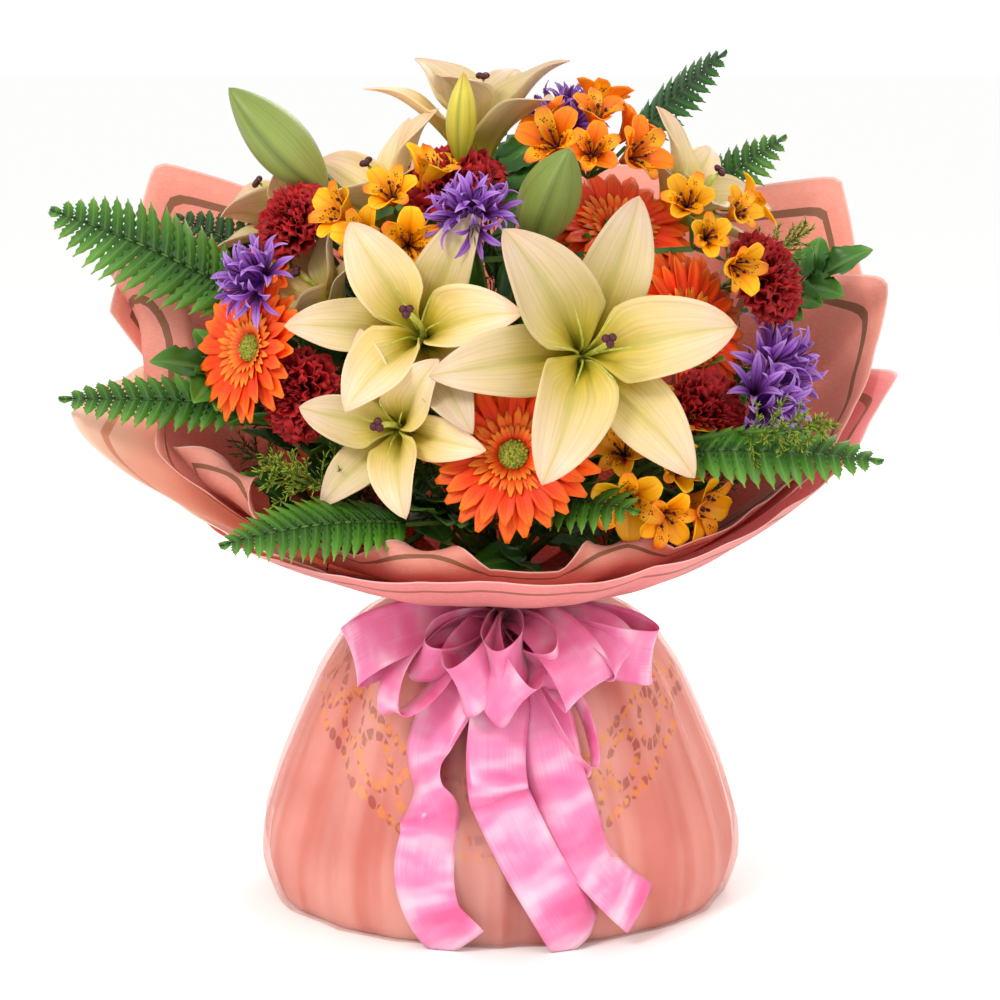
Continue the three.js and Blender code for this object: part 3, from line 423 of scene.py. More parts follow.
def nonwoven_material(name, outer, deep, line):
    """Non-woven wrapping sheet: pressed fibres that let light through, with a printed border line.

    Along holds millimetres from the side edge and from the rim, so the line keeps its distance from both.
    Real fibres are too fine to show, so they are drawn 3 mm long and 0.7 mm thick.
    """
    material, tree = start_material(name)
    place = node(tree, "ShaderNodeUVMap", uv_map="Along").outputs[0]
    parts = node(tree, "ShaderNodeSeparateXYZ", {"Vector": place}).outputs
    where = node(tree, "ShaderNodeTexCoord").outputs["Object"]
    fibres = node(tree, "ShaderNodeMapping", {"Vector": where, "Scale": (300, 300, 1400)}).outputs[0]
    fibres = node(tree, "ShaderNodeTexNoise", {"Vector": fibres, "Scale": 1.0, "Detail": 4.0}).outputs["Fac"]
    cloud = node(tree, "ShaderNodeTexNoise", {"Vector": where, "Scale": 20.0, "Detail": 3.0}).outputs["Fac"]
    # Painted shade and painted glow: the colour deepens from outer to deep towards the tie, where the cone is in
    # shade and lit through its layers.
    depth = calc(tree, "MULTIPLY_ADD", parts[1], 0.0062, calc(tree, "MULTIPLY", cloud, 0.5))
    colour = ramp(tree, depth, [(0.22, outer), (0.95, deep)])
    pale = calc(tree, "MULTIPLY", calc(tree, "GREATER_THAN", fibres, 0.57), 0.14)
    colour = blend_colour(tree, pale, colour, "ffe2d6")
    nearest = calc(tree, "MINIMUM", parts[0], parts[1])
    from_line = calc(tree, "ABSOLUTE", calc(tree, "SUBTRACT", nearest, LINE_FROM_EDGE))
    band = calc(tree, "MULTIPLY", calc(tree, "LESS_THAN", from_line, LINE_HALF), 0.85)
    colour = blend_colour(tree, band, colour, line)
    edge = calc(tree, "MULTIPLY", calc(tree, "LESS_THAN", nearest, CUT_EDGE), 0.5)
    colour = blend_colour(tree, edge, colour, "ffe9df")
    bump = node(tree, "ShaderNodeBump", {"Height": fibres, "Strength": 0.2, "Distance": 0.0003}).outputs[0]
    end_material(tree, colour, 0.5, bump, through=0.36, alpha=0.95, sheen=0.15)
    return material


def sheer_material(name, light, deep):
    """Sheer non-woven sheet, gathered: pleat-like streaks run up it, paler as painted highlight and deeper as painted
    shade.

    Along holds millimetres round the skirt and up it.
    """
    material, tree = start_material(name)
    place = node(tree, "ShaderNodeUVMap", uv_map="Along").outputs[0]
    # Painted highlight and painted shade: lengthwise streaks, pale where a pleat would face the light and deep
    # between; they also drive the bump.
    folds = node(tree, "ShaderNodeMapping", {"Vector": place, "Scale": (0.06, 0.003, 1)}).outputs[0]
    folds = node(tree, "ShaderNodeTexNoise", {"Vector": folds, "Scale": 1.0, "Detail": 3.0}).outputs["Fac"]
    where = node(tree, "ShaderNodeTexCoord").outputs["Object"]
    cloud = node(tree, "ShaderNodeTexNoise", {"Vector": where, "Scale": 14.0, "Detail": 2.0}).outputs["Fac"]
    depth = calc(tree, "MULTIPLY_ADD", cloud, 0.3, calc(tree, "MULTIPLY", folds, 0.7))
    colour = ramp(tree, depth, [(0.42, light), (0.58, deep)])
    bump = node(tree, "ShaderNodeBump", {"Height": folds, "Strength": 0.55, "Distance": 0.006}).outputs[0]
    end_material(tree, colour, 0.32, bump, through=0.3, alpha=0.42, sheen=0.15)
    return material


# The lining's garland, in millimetres: pitch of its rings and beads, and height of the two rows of beads. Sizes
# of the marks are shares of their pitch.
RING_PITCH = 31.0
BEAD_PITCH = 7.0
BEAD_ROWS = (19.0, -20.0)
RING_BEADS = 11
RING_REACH = 0.38
RING_HALF = 0.085
RING_BEAD = 0.38
BEAD_REACH = 0.44


def garland_material(name, ground, deep, gold, amber):
    """Peach lining sheet printed with a garland of gold rings between two rows of beads.

    Along holds millimetres round the skirt and above the garland's middle line.
    """
    material, tree = start_material(name)
    place = node(tree, "ShaderNodeUVMap", uv_map="Along").outputs[0]
    parts = node(tree, "ShaderNodeSeparateXYZ", {"Vector": place}).outputs
    where = node(tree, "ShaderNodeTexCoord").outputs["Object"]
    cloud = node(tree, "ShaderNodeTexNoise", {"Vector": where, "Scale": 16.0, "Detail": 3.0}).outputs["Fac"]
    colour = ramp(tree, cloud, [(0.3, ground), (0.7, deep)])
    ink = node(tree, "ShaderNodeTexNoise", {"Vector": where, "Scale": 130.0, "Detail": 1.0}).outputs["Fac"]
    print_colour = ramp(tree, ink, [(0.46, gold), (0.54, amber)])
    marks = None
    for pitch, height in ((RING_PITCH, 0.0), *((BEAD_PITCH, row) for row in BEAD_ROWS)):
        across = calc(tree, "SUBTRACT", calc(tree, "FRACT", calc(tree, "DIVIDE", parts[0], pitch)), 0.5)
        up = calc(tree, "DIVIDE", calc(tree, "SUBTRACT", parts[1], height), pitch)
        spot = node(tree, "ShaderNodeCombineXYZ", {"X": across, "Y": up}).outputs[0]
        reach = node(tree, "ShaderNodeVectorMath", {0: spot}, operation="LENGTH").outputs["Value"]
        if pitch == RING_PITCH:
            turn = calc(tree, "MULTIPLY", calc(tree, "ARCTAN2", up, across), RING_BEADS / math.tau)
            bead = calc(tree, "ABSOLUTE", calc(tree, "SUBTRACT", calc(tree, "FRACT", turn), 0.5))
            off = calc(tree, "ABSOLUTE", calc(tree, "SUBTRACT", reach, RING_REACH))
            in_bead = calc(tree, "LESS_THAN", bead, RING_BEAD)
            mark = calc(tree, "MULTIPLY", in_bead, calc(tree, "LESS_THAN", off, RING_HALF))
        else:
            mark = calc(tree, "LESS_THAN", reach, BEAD_REACH)
        marks = calc(tree, "MAXIMUM", marks, mark) if marks else mark
    colour = blend_colour(tree, calc(tree, "MULTIPLY", marks, 0.9), colour, print_colour)
    end_material(tree, colour, 0.6, None, through=0.2, sheen=0.1)
    return material


def satin_material(name, dark, light):
    """Satin ribbon: bands across it are painted pale as painted highlight and deep as painted shade, where it bends
    to and from the light.

    Real threads are too fine to show, so they are drawn 0.45 mm apart.
    """
    material, tree = start_material(name)
    place = node(tree, "ShaderNodeUVMap", uv_map="Along").outputs[0]
    threads = node(tree, "ShaderNodeMapping", {"Vector": place, "Scale": (2.2, 0.03, 1)}).outputs[0]
    threads = node(tree, "ShaderNodeTexNoise", {"Vector": threads, "Scale": 1.0, "Detail": 3.0}).outputs["Fac"]
    # Painted highlight and painted shade: broad bands across the ribbon, pale where it would face the light and deep
    # pink where it would not.
    painted_light_bands = node(tree, "ShaderNodeMapping", {"Vector": place, "Scale": (0.02, 0.045, 1)}).outputs[0]
    painted_light_bands = node(tree, "ShaderNodeTexNoise", {"Vector": painted_light_bands, "Scale": 1.0, "Detail": 2.0}).outputs["Fac"]
    depth = calc(tree, "MULTIPLY_ADD", threads, 0.15, calc(tree, "MULTIPLY", painted_light_bands, 0.85))
    colour = ramp(tree, depth, [(0.34, dark), (0.5, "f88fc0"), (0.66, light)])
    bump = node(tree, "ShaderNodeBump", {"Height": threads, "Strength": 0.1, "Distance": 0.0003}).outputs[0]
    end_material(tree, colour, 0.24, bump, through=0.22, sheen=0.3, coat=0.3)
    return material


MATERIALS = {}


def finish(name):
    """A material by its plain name, made once."""
    if name not in MATERIALS:
        MATERIALS[name] = FINISHES[name]()
    return MATERIALS[name]


FINISHES = {
    # Waxy skin: yellow-green throat, its olive root partly painted shade; cream further out, faintly peach at the
    # tip; it glows.
    "lily_petal": lambda: petal_material(
        "Waxy ivory lily petal",
        [(0.0, "848a12"), (0.13, "bdb424"), (0.32, "e0ca50"), (0.6, "ecd69c"), (0.86, "f0d6b6"), (1.0, "ecc8a6")],
        rib="c6bf48", rib_strength=0.45, veins=30, roughness=0.4, through=0.28,
    ),
    # Fleshy thread: pale lime with a soft shine.
    "lily_filament": lambda: smooth_material("Pale green lily filament", "a9b63a", "d3d674", 220, 0.45, through=0.1),
    # Moist knob: nearly black-red.
    "lily_stigma": lambda: smooth_material("Maroon lily stigma", "2b0a12", "5a1a26", 900, 0.5, bump_mm=0.5),
    # Thick waxy skin: grey-green with darker ribs, and pale where it joins the stem.
    "green_bud": lambda: petal_material(
        "Waxy green lily bud",
        [(0.0, "b5a87a"), (0.14, "9aa052"), (0.5, "8c9c4c"), (1.0, "76883c")],
        rib="5c6c30", rib_strength=0.75, veins=26, roughness=0.4, through=0.05,
    ),
    # A bud about to open: yellow shows between its green ribs.
    "yellow_bud": lambda: petal_material(
        "Yellow-green lily bud",
        [(0.0, "8f9a2a"), (0.4, "b9a92c"), (0.8, "dccb4c"), (1.0, "c9ab3c")],
        rib="7f7f28", rib_strength=0.8, veins=26, roughness=0.4, through=0.1,
    ),
    # Velvety straps: red at the eye and bright orange at the tip.
    "gerbera_ray": lambda: petal_material(
        "Velvety orange-red gerbera ray",
        [(0.0, "c81200"), (0.3, "ee2a00"), (0.7, "ff4a00"), (1.0, "ff7c12")],
        rib="e02200", rib_strength=0.5, veins=22, roughness=0.5, through=0.22,
    ),
    # Thin fringe: lighter than the rays behind it.
    "gerbera_fringe": lambda: petal_material(
        "Orange gerbera fringe",
        [(0.0, "d82400"), (0.5, "f84a00"), (1.0, "ffa02a")],
        rib="e03a00", rib_strength=0.3, veins=12, roughness=0.5, through=0.2,
    ),
    # Packed florets: matte, dark between them.
    "gerbera_eye": lambda: smooth_material("Olive green gerbera eye", "4d5c14", "a8a52c", 700, 0.7, bump_mm=1.2),
    # Soft frills: crimson at the edge, darkened to nearly black towards the root as painted shade in the bloom's
    # depth.
    "carnation": lambda: petal_material(
        "Crimson frilled carnation petal",
        [(0.0, "280105"), (0.5, "620306"), (0.85, "96070c"), (1.0, "b81016")],
        rib="5c0408", rib_strength=0.3, veins=16, roughness=0.6, through=0.15,
    ),
    # Thin satin petal: orange in the throat, golden further out, and it glows.
    "alstroemeria": lambda: petal_material(
        "Golden alstroemeria petal",
        [(0.0, "d86c00"), (0.25, "f89400"), (0.6, "ffb400"), (1.0, "ffc60c")],
        rib="f08c00", rib_strength=0.5, veins=24, roughness=0.45, through=0.28,
    ),
    # The inner petals: golden with short red-brown flecks.
    "alstroemeria_flecked": lambda: petal_material(
        "Flecked golden alstroemeria petal",
        [(0.0, "f07c00"), (0.3, "fb9c00"), (0.8, "ffb80c"), (1.0, "f27a14")],
        rib="f08000", rib_strength=0.5, veins=24, roughness=0.45, through=0.25, flecks="861a08",
    ),
    # The same petal in a deep orange.
    "alstroemeria_orange": lambda: petal_material(
        "Orange alstroemeria petal",
        [(0.0, "c83c00"), (0.3, "ee6200"), (0.7, "ff8400"), (1.0, "ff9a10")],
        rib="e65c00", rib_strength=0.5, veins=24, roughness=0.45, through=0.28,
    ),
    # Thin violet petal: a dark middle line and lilac tips.
    "agapanthus": lambda: petal_material(
        "Violet agapanthus petal",
        [(0.0, "401064"), (0.3, "6e2c98"), (0.7, "9c58c0"), (1.0, "be90dc")],
        rib="4a1e88", rib_strength=0.8, veins=14, roughness=0.45, through=0.22,
    ),
    # Young frond: fresh green, paler towards the leaflets' tips.
    "fern": lambda: petal_material(
        "Fresh green fern leaflet",
        [(0.0, "20480e"), (0.4, "3a7018"), (0.8, "5a8e26"), (1.0, "86aa3a")],
        rib="7aa048", rib_strength=0.4, veins=20, roughness=0.4, through=0.2,
    ),
    # Older frond: darker and bluer.
    "dark_fern": lambda: petal_material(
        "Deep green fern leaflet",
        [(0.0, "12300e"), (0.4, "224c16"), (0.8, "2f6220"), (1.0, "447a2c")],
        rib="4f7f3c", rib_strength=0.4, veins=20, roughness=0.4, through=0.18,
    ),
    # Leathery leaf: a soft shine and a pale middle rib.
    "leaf": lambda: petal_material(
        "Deep green broad leaf",
        [(0.0, "1a400c"), (0.4, "2c5a16"), (0.8, "427620"), (1.0, "5c8c2c")],
        rib="6f944c", rib_strength=0.6, veins=12, roughness=0.36, through=0.15,
    ),
    # Fine needles: yellow-green at their tips, dull.
    "filler": lambda: petal_material(
        "Yellow-green filler needle",
        [(0.0, "4d6818"), (0.5, "7c9422"), (1.0, "b4bc3c")],
        rib="8ca030", rib_strength=0.2, veins=6, roughness=0.55, through=0.2,
    ),
    # The same needles darkened as painted shade, for the sprays low down between the blooms.
    "shaded_filler": lambda: petal_material(
        "Filler needle in painted shade",
        [(0.0, "20380f"), (0.5, "33521a"), (1.0, "5a7828")],
        rib="46662a", rib_strength=0.2, veins=6, roughness=0.55, through=0.15,
    ),
    # Smooth fresh skin: mottled green with a soft shine.
    "stem": lambda: smooth_material("Fresh green flower stem", "2a4c16", "55782c", 60, 0.45),
    # Twisted fibre: pale and dull, dark between its strands.
    "twine": lambda: smooth_material("Pale natural twine", "8f7a4c", "c2ad7c", 900, 0.8, bump_mm=0.6),
    # Pressed polypropylene fibre: salmon with pale fibres and a brown line; painted shade and glow deepen it towards
    # the tie.
    "wrap": lambda: nonwoven_material("Salmon non-woven wrap", "f6ae9c", "dc5230", "8a5830"),
    # The front sheet faces the light less and looks pinker.
    "wrap_rose": lambda: nonwoven_material("Rose salmon non-woven wrap", "f4a09e", "dc6062", "a8603c"),
    # The turned-out flap: paler peach, with a paler line.
    "wrap_peach": lambda: nonwoven_material("Peach non-woven wrap", "ffe0cc", "f68a52", "e8a880"),
    # Sheer gathered sheet: the lining shows through it, and pleat-like streaks of painted highlight and painted shade
    # run up it.
    "wrap_skirt": lambda: sheer_material("Sheer salmon non-woven skirt", "fad2ca", "e2938a"),
    # Printed sheet: matte peach with gold and amber dots.
    "lining": lambda: garland_material("Printed peach lining sheet", "f6b4a2", "e2917e", "ffb000", "9a2800"),
    # Woven satin: bands of painted highlight and painted shade where it bends to and from the light.
    "satin": lambda: satin_material("Pink satin ribbon", "f0659f", "ffd2e4"),
}


# ---- Petals and leaves ----


def lean_line(length, lean, u):
    """Out, up and lean of a middle line that leans from lean[0] to lean[1] degrees, later for a high power."""
    start, end, power = lean
    out = up = 0.0
    steps = 8
    for i in range(steps):
        angle = math.radians(mix(start, end, ((i + 0.5) / steps * u) ** power))
        out += math.sin(angle) * length * u / steps
        up += math.cos(angle) * length * u / steps
    return out, up, math.radians(mix(start, end, max(u, 0) ** power))


def petal(
    length, width, lean, outline, cup=0.0, share=3, start=1, ruffle=0.0, waves=9, phase=0.0,
    fringe=0.0, teeth=5, groove=0.0, turn=0.0, curl=0.0,
):
    """Surface of a petal that leans out from the axis towards +X, on the cone that it shares with its ring.

    share is how many petals go round the cone, and start how far from the axis the root is. ruffle, waves and
    phase shape the waved edge, fringe and teeth the cut tip, groove the hollow along the root, and curl how far
    the tip bends back. turn is in degrees about the axis.
    """

    def surface(u, v):
        reach = u * (1 - fringe * u * abs(math.sin(teeth * math.pi * v)))
        out, up, angle = lean_line(length, lean, reach)
        half = width / 2 * outline(u)
        radius = max(start + out, 0.5)
        lift = cup * half * v * v - groove * half * math.exp(-((v / 0.16) ** 2)) * (1 - u)
        lift += ruffle * half * abs(v) ** 1.5 * math.sin(waves * u + phase + (2 if v < 0 else 0))
        lift -= curl * length * max(u - 0.72, 0) ** 2
        swing = v * min(half / radius, 0.93 * math.pi / share) + math.radians(turn)
        distance = radius - lift * math.cos(angle)
        return Vector((distance * math.cos(swing), distance * math.sin(swing), up + lift * math.sin(angle)))

    return surface


def lily_outline(u):
    return 0.03 if u <= 0 else max(math.sin(math.pi * min(u, 1) ** 0.94), 0) ** 0.82 + 0.012


def strap_outline(u):
    return 0.45 + 0.55 * ease(0, 0.5, u) - 0.75 * ease(0.8, 1.0, u)


def fan_outline(u):
    return 0.18 + 0.82 * u ** 1.1


def spoon_outline(u):
    return 0.3 + 0.7 * math.sin(math.pi * min(0.12 + 0.76 * u, 1) ** 1.5) ** 0.9 - 0.25 * ease(0.85, 1, u)


def leaf_outline(u):
    return 0.04 + max(math.sin(math.pi * clamp(u) ** 0.85), 0) ** 0.85


def funnel_outline(u):
    return 0.5 + 0.5 * math.sin(math.pi * min(u, 1) ** 1.5) - 0.42 * ease(0.8, 1, u)


# ---- Blooms, each with its root at the origin and its face along +Z ----


def lily(bm, length, open_by, seed):
    """Six broad petals in two rings, six pale filaments, a green style and a maroon three-lobed stigma."""
    # Slots: petal, filament and style, stigma.
    draw = random.Random(seed)
    rings = (
        {"width": 0.53, "lean": (open_by * 0.16, open_by, 0.9), "cup": 0.28, "share": 3, "first": 0},
        {"width": 0.41, "lean": (open_by * 0.32, open_by + 10, 0.85), "cup": 0.2, "share": 3.4, "first": 60},
    )
    for ring in rings:
        for i in range(3):
            low, high, power = ring["lean"]
            surface = petal(
                length=length * draw.uniform(0.97, 1.0), width=length * ring["width"], outline=lily_outline,
                lean=(low, high + draw.uniform(-3, 5), power), cup=ring["cup"], share=ring["share"],
                start=2, ruffle=0.15, waves=11, phase=draw.uniform(0, 6),
                groove=0.22, turn=ring["first"] + 120 * i + draw.uniform(-2, 2), curl=0.5,
            )
            sheet(bm, surface, 26, 14, tone=draw.random(), thick=0.7)
    tip = Vector((length * 0.03, 0, length * 0.66))
    style = [UP * 2, Vector((length * 0.05, 0, length * 0.35)), tip]
    tube(bm, style, 1.3, 1.9, sides=8, rows=10, slot=1)
    for i in range(3):
        lobe = heading(120 * i) * 2.1 + tip + UP * 0.6
        ball(bm, lobe, 2.5, slot=2, stretch=(1, 1, 0.8))
    for i in range(6):
        out = heading(60 * i + 20)
        top = out * length * draw.uniform(0.2, 0.26) + UP * length * draw.uniform(0.46, 0.54)
        points = [out * 2 + UP * 3, out * length * 0.07 + UP * length * 0.28, top]
        tube(bm, points, 0.95, 0.4, slot=1)
    tube(bm, [UP * -3.4, UP, UP * 7], 3, 4.6, sides=10, rows=6, slot=1)


def bud(bm, length, width):
    """A closed bud of three broad outer petals whose edges meet in seams."""

    def surface(u, v):
        angle = math.pi * v
        body = width / 2 * max(math.sin(math.pi * clamp(u) ** 0.92), 0) ** 0.78
        seam = 1 + 0.075 * math.cos(3 * angle) - 0.05 * math.exp(-((((angle * 3 / math.pi + 6) % 2 - 1) / 0.16) ** 2))
        bend = 0.05 * length * u * u
        return Vector((body * seam * math.cos(angle) + bend, body * seam * math.sin(angle), length * u))

    def seams(u, v):
        return ((v * 1.5 + 0.5) % 1.0, u)

    sheet(bm, surface, 32, 48, cloth=seams, weld=True)


def gerbera(bm, radius, seed):
    """Two rings of rays, a fringe of small ones, and a domed eye of tiny florets."""
    # Slots: ray, fringe, eye, stem.
    draw = random.Random(seed)
    rings = (
        {"count": 22, "length": 0.88, "width": 0.215, "lean": (74, 98, 1), "start": 0.14, "slot": 0},
        {"count": 20, "length": 0.78, "width": 0.19, "lean": (64, 90, 1), "start": 0.13, "slot": 0},
        {"count": 26, "length": 0.42, "width": 0.085, "lean": (48, 84, 1), "start": 0.15, "slot": 1},
        {"count": 30, "length": 0.26, "width": 0.06, "lean": (30, 76, 1), "start": 0.14, "slot": 1},
    )
    for k, ring in enumerate(rings):
        for i in range(ring["count"]):
            low, high, power = ring["lean"]
            surface = petal(
                length=radius * ring["length"] * draw.uniform(0.9, 1.02), width=radius * ring["width"],
                lean=(low, high + draw.uniform(-7, 7), power), outline=strap_outline, share=6,
                start=radius * ring["start"], cup=draw.uniform(0.1, 0.4), groove=0.25,
                turn=360 / ring["count"] * (i + 0.5 * (k % 2)) + draw.uniform(-3, 3),
            )
            detail = (10, 4) if k < 2 else (5, 2)
            sheet(bm, surface, *detail, slot=ring["slot"], tone=draw.random(), thick=0.5)
    ball(bm, UP * radius * 0.05, radius * 0.18, slot=2, stretch=(1, 1, 0.5), rings=10)
    for i in range(44):
        reach = radius * 0.165 * math.sqrt((i + 0.5) / 44)
        root = around(GOLDEN_ANGLE * i, reach, radius * (0.13 - 0.35 * (reach / radius) ** 1.2))
        ball(bm, root, radius * 0.022, slot=2, tone=draw.random(), stretch=(1, 1, 1.6), rings=3)
    tube(bm, [UP * -4, UP * 0, UP * 4], radius * 0.1, radius * 0.24, sides=12, rows=5, slot=3)


def carnation(bm, radius, seed):
    """Many fan petals with frilled, toothed edges, from flat on the outside to upright in the middle."""
    # Slots: petal, stem. Layers: petals, how far they open in degrees, and length as a share of the radius.
    draw = random.Random(seed)
    layers = ((9, 104, 1.16), (9, 88, 1.16), (9, 70, 1.14), (8, 52, 1.1), (7, 34, 1.04), (5, 16, 1.0))
    for k, (count, open_by, length) in enumerate(layers):
        for i in range(count):
            surface = petal(
                length=radius * length * draw.uniform(0.9, 1.03), width=radius * 0.9,
                lean=(open_by * 0.35, open_by + draw.uniform(-8, 8), 1), outline=fan_outline, share=5,
                start=1.5, cup=0.15, ruffle=0.32, waves=17, phase=draw.uniform(0, 6),
                fringe=0.11, teeth=4.5, turn=360 / count * i + 23 * k + draw.uniform(-8, 8),
            )
            frill = draw.uniform(0, 6)

            def ruffled(u, v, surface=surface, frill=frill):
                fold = 0.075 * radius * u * u * math.sin(11 * v + frill)
                return surface(u, v) + UP * fold

            sheet(bm, ruffled, 9, 14, tone=draw.random(), thick=0.4)
    tube(bm, [UP * -3, UP * 4, UP * radius * 0.4], radius * 0.14, radius * 0.26, sides=10, rows=6, slot=1)


def alstroemeria_floret(bm, length, seed):
    """Three broad outer petals, three narrow flecked ones, and bent stamens."""
    # Slots: outer petal, flecked petal, stamen.
    draw = random.Random(seed)
    opening = draw.uniform(50, 76)
    for k, (width, low, slot) in enumerate(((0.62, 22, 0), (0.42, 16, 1))):
        for i in range(3):
            surface = petal(
                length=length * draw.uniform(0.96, 1.04), width=length * width,
                lean=(low, opening + draw.uniform(-6, 8), 1.2), outline=spoon_outline, share=3, start=0.8,
                cup=0.25, ruffle=0.12, phase=draw.uniform(0, 6), groove=0.2,
                turn=120 * i + 60 * k + draw.uniform(-5, 5), curl=0.4,
            )
            sheet(bm, surface, 12, 8, slot=slot, tone=draw.random(), thick=0.5)
    for i in range(5):
        out = heading(72 * i + draw.uniform(-20, 20))
        tip = out * length * 0.2 + UP * length * draw.uniform(0.5, 0.62)
        tube(bm, [UP * 1.0, out * length * 0.06 + UP * length * 0.3, tip], 0.5, 0.5, sides=4, rows=5, slot=2)
        ball(bm, tip, 1.1, slot=2, tone=0.2, stretch=(1, 1, 1.5), rings=3)


def agapanthus_floret(bm, length, seed):
    """A narrow funnel that opens into six recurved petals, with fine stamens."""
    draw = random.Random(seed)
    for i in range(6):
        surface = petal(
            length=length * draw.uniform(0.94, 1.06), width=length * (0.17 if i % 2 else 0.13),
            lean=(7, 74 + draw.uniform(-10, 14), 2.0), outline=funnel_outline,
            share=4, start=1.2, cup=0.2, groove=0.25,
            turn=60 * i + draw.uniform(-5, 5), curl=0.5,
        )
        sheet(bm, surface, 10, 4, tone=draw.random(), thick=0.4)
    for i in range(4):
        out = heading(90 * i + 30)
        points = [UP * 2.0, out * 1.5 + UP * length * 0.5, out * length * 0.14 + UP * length * 0.86]
        tube(bm, points, 0.35, 0.35, sides=4, rows=4, slot=1)


# ---- Foliage ----


def frond(bm, length, width, droop, seed, leaflets=19):
    """A fern frond along +X: an arching rib with toothed leaflets on both sides."""
    draw = random.Random(seed)
    lean = (90 - droop * 0.35, 90 + droop * 0.65, 1)

    def rib_point(u):
        out, up, _ = lean_line(length, lean, u)
        return Vector((out, 0, up))

    points = [rib_point(i / 8) for i in range(9)]
    for i in range(leaflets):
        u = 0.05 + 0.93 * i / (leaflets - 1)
        root = curve_point(points, u)
        head = curve_heading(points, u)
        span = width / 2 * (0.12 + 0.88 * max(math.sin(math.pi * min(0.18 + 0.84 * u, 1)), 0) ** 0.75)
        blade = length / leaflets * 1.42 * mix(1, 0.66, u)
        for side in (-1, 1):
            out = (Vector((0, side, 0)) + head * draw.uniform(0.26, 0.36)).normalized()
            normal = head.cross(out).normalized() * side
            sag = draw.uniform(0.1, 0.24)

            def surface(s, v, root=root, out=out, head=head, normal=normal, span=span, sag=sag):
                tooth = 1 + 0.17 * math.cos(10 * math.pi * s)
                half = blade / 2 * mix(1, 0.72, s) * (1 - ease(0.62, 1.02, s) * 0.93) * tooth
                drop = normal * (-sag * span * s * s + 0.18 * half * v * v)
                return root + out * span * s + head * (half * v + 0.12 * span * s * s) + drop

            sheet(bm, surface, 10, 2, tone=draw.random(), thick=0.4)
    tube(bm, points, 1.1, 0.4, rows=16, slot=1)


def broad_leaf(length, width, lean, turn, place, wave):
    surface = petal(
        length=length, width=width, lean=lean, outline=leaf_outline, share=1, start=1,
        cup=0.18, ruffle=0.12, waves=15, phase=wave, groove=0.2, turn=turn,
    )
    return lambda u, v: surface(u, v * (1 + 0.1 * math.sin(40 * u) * abs(v))) + place


def sprig(bm, length, leaf_length, leaf_width, seed, count=7):
    """A leafy sprig along +X with broad, toothed and waved leaves."""
    draw = random.Random(seed)
    for i in range(count):
        along = 0.2 + 0.8 * i / (count - 1)
        last = i == count - 1
        turn = draw.uniform(-10, 10) if last else (52 if i % 2 else -52) + draw.uniform(-12, 12)
        size = (1 if last else 0.85) * draw.uniform(0.86, 1.0)
        lean = (78 + draw.uniform(-6, 4), 100 + draw.uniform(-4, 8), 1)
        foot = Vector((length * along - 1, 0, 0))
        surface = broad_leaf(leaf_length * size, leaf_width * size, lean, turn, foot, draw.uniform(0, 6))
        sheet(bm, surface, 14, 8, tone=draw.random(), thick=0.4)
    twig = [Vector((-2, 0, 0)), Vector((length / 2, 0, 0.5)), Vector((length, 0, 0))]
    tube(bm, twig, 1.1, 1.1, rows=6, slot=1)


def plume(bm, length, reach, seed, twigs=15, needles=15, slot=0):
    """A feathery spray along +Z: twigs all round a core, each set with short flat needles."""
    draw = random.Random(seed)
    for i in range(twigs):
        along = 0.12 + 0.86 * i / (twigs - 1)
        out = heading(137.5 * i + draw.uniform(-20, 20), 20 + 45 * along)
        size = reach * (1.12 - 0.75 * along) * draw.uniform(0.85, 1.1)
        root = UP * length * along
        tip = root + out * size
        points = [root, root.lerp(tip, 0.5) + UP * size * 0.08, tip]
        tube(bm, points, 0.45, 0.45, sides=3, rows=3, slot=slot, tone=0.3)
        for k in range(needles):
            t = 0.12 + 0.88 * k / (needles - 1)
            foot = curve_point(points, t)
            lean = (out + heading(draw.uniform(0, 360), draw.uniform(-60, 60)) * 0.95).normalized()
            end = foot + lean * draw.uniform(3.2, 5.6)
            across = lean.cross(out).normalized() * 0.55
            surface = lambda u, v, foot=foot, end=end, across=across: foot.lerp(end, u) + across * v * (1 - 0.85 * u)
            sheet(bm, surface, 1, 1, slot=slot, tone=draw.random())
    tube(bm, [UP * -2, UP * length * 0.5, UP * length], 1.4, 0.6, rows=6, slot=1)


# Leaves and sprays low down between the blooms grow from a dome: its middle and its reach.
DOME_MIDDLE = Vector((0, -6, 262))
DOME_REACH = Vector((142, 124, 134))
DOME_LEAVES = 340
DOME_RISE = (-0.42, 0.97)  # sine of the lowest and the highest leaf's elevation
ROOT_MARGIN = 34  # how far inside the bowl each of them starts
LEAF_REACH = 46
LEAF_MARGIN = 15
SPRAY_MARGIN = 28


def share_out(sprigs):
    """Roots and directions of the leaves on the dome, each given to its nearest sprig."""
    draw = random.Random(7)
    shared = {name: [] for name in sprigs}
    middles = {name: (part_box(name)[0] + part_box(name)[1]) / 2 / MM for name in sprigs}
    for i in range(DOME_LEAVES):
        bearing = GOLDEN_ANGLE * i
        rise = mix(*DOME_RISE, (i + 0.5) / DOME_LEAVES)
        out = heading(bearing, math.degrees(math.asin(rise)))
        root = DOME_MIDDLE + out * DOME_REACH * draw.uniform(0.72, 1.0)
        aside = heading(draw.uniform(0, 360), draw.uniform(-30, 60))
        run = (out + aside * 0.9).normalized()
        feathery = i % 4 == 3
        margin = SPRAY_MARGIN if feathery else LEAF_MARGIN
        root -= heading(bearing) * max(Vector(root[:2]).length + ROOT_MARGIN - bowl_radius(bearing, root.z), 0)
        for _ in range(16):
            tip = root + run * LEAF_REACH
            if Vector(tip[:2]).length + margin < bowl_radius(math.degrees(math.atan2(tip.x, -tip.y)), tip.z):
                break
            run = (run + UP * 0.25 - heading(bearing) * 0.12).normalized()
        nearest = min(middles, key=lambda name: (middles[name] - root).length)
        shared[nearest].append((root, run, feathery))
    return shared


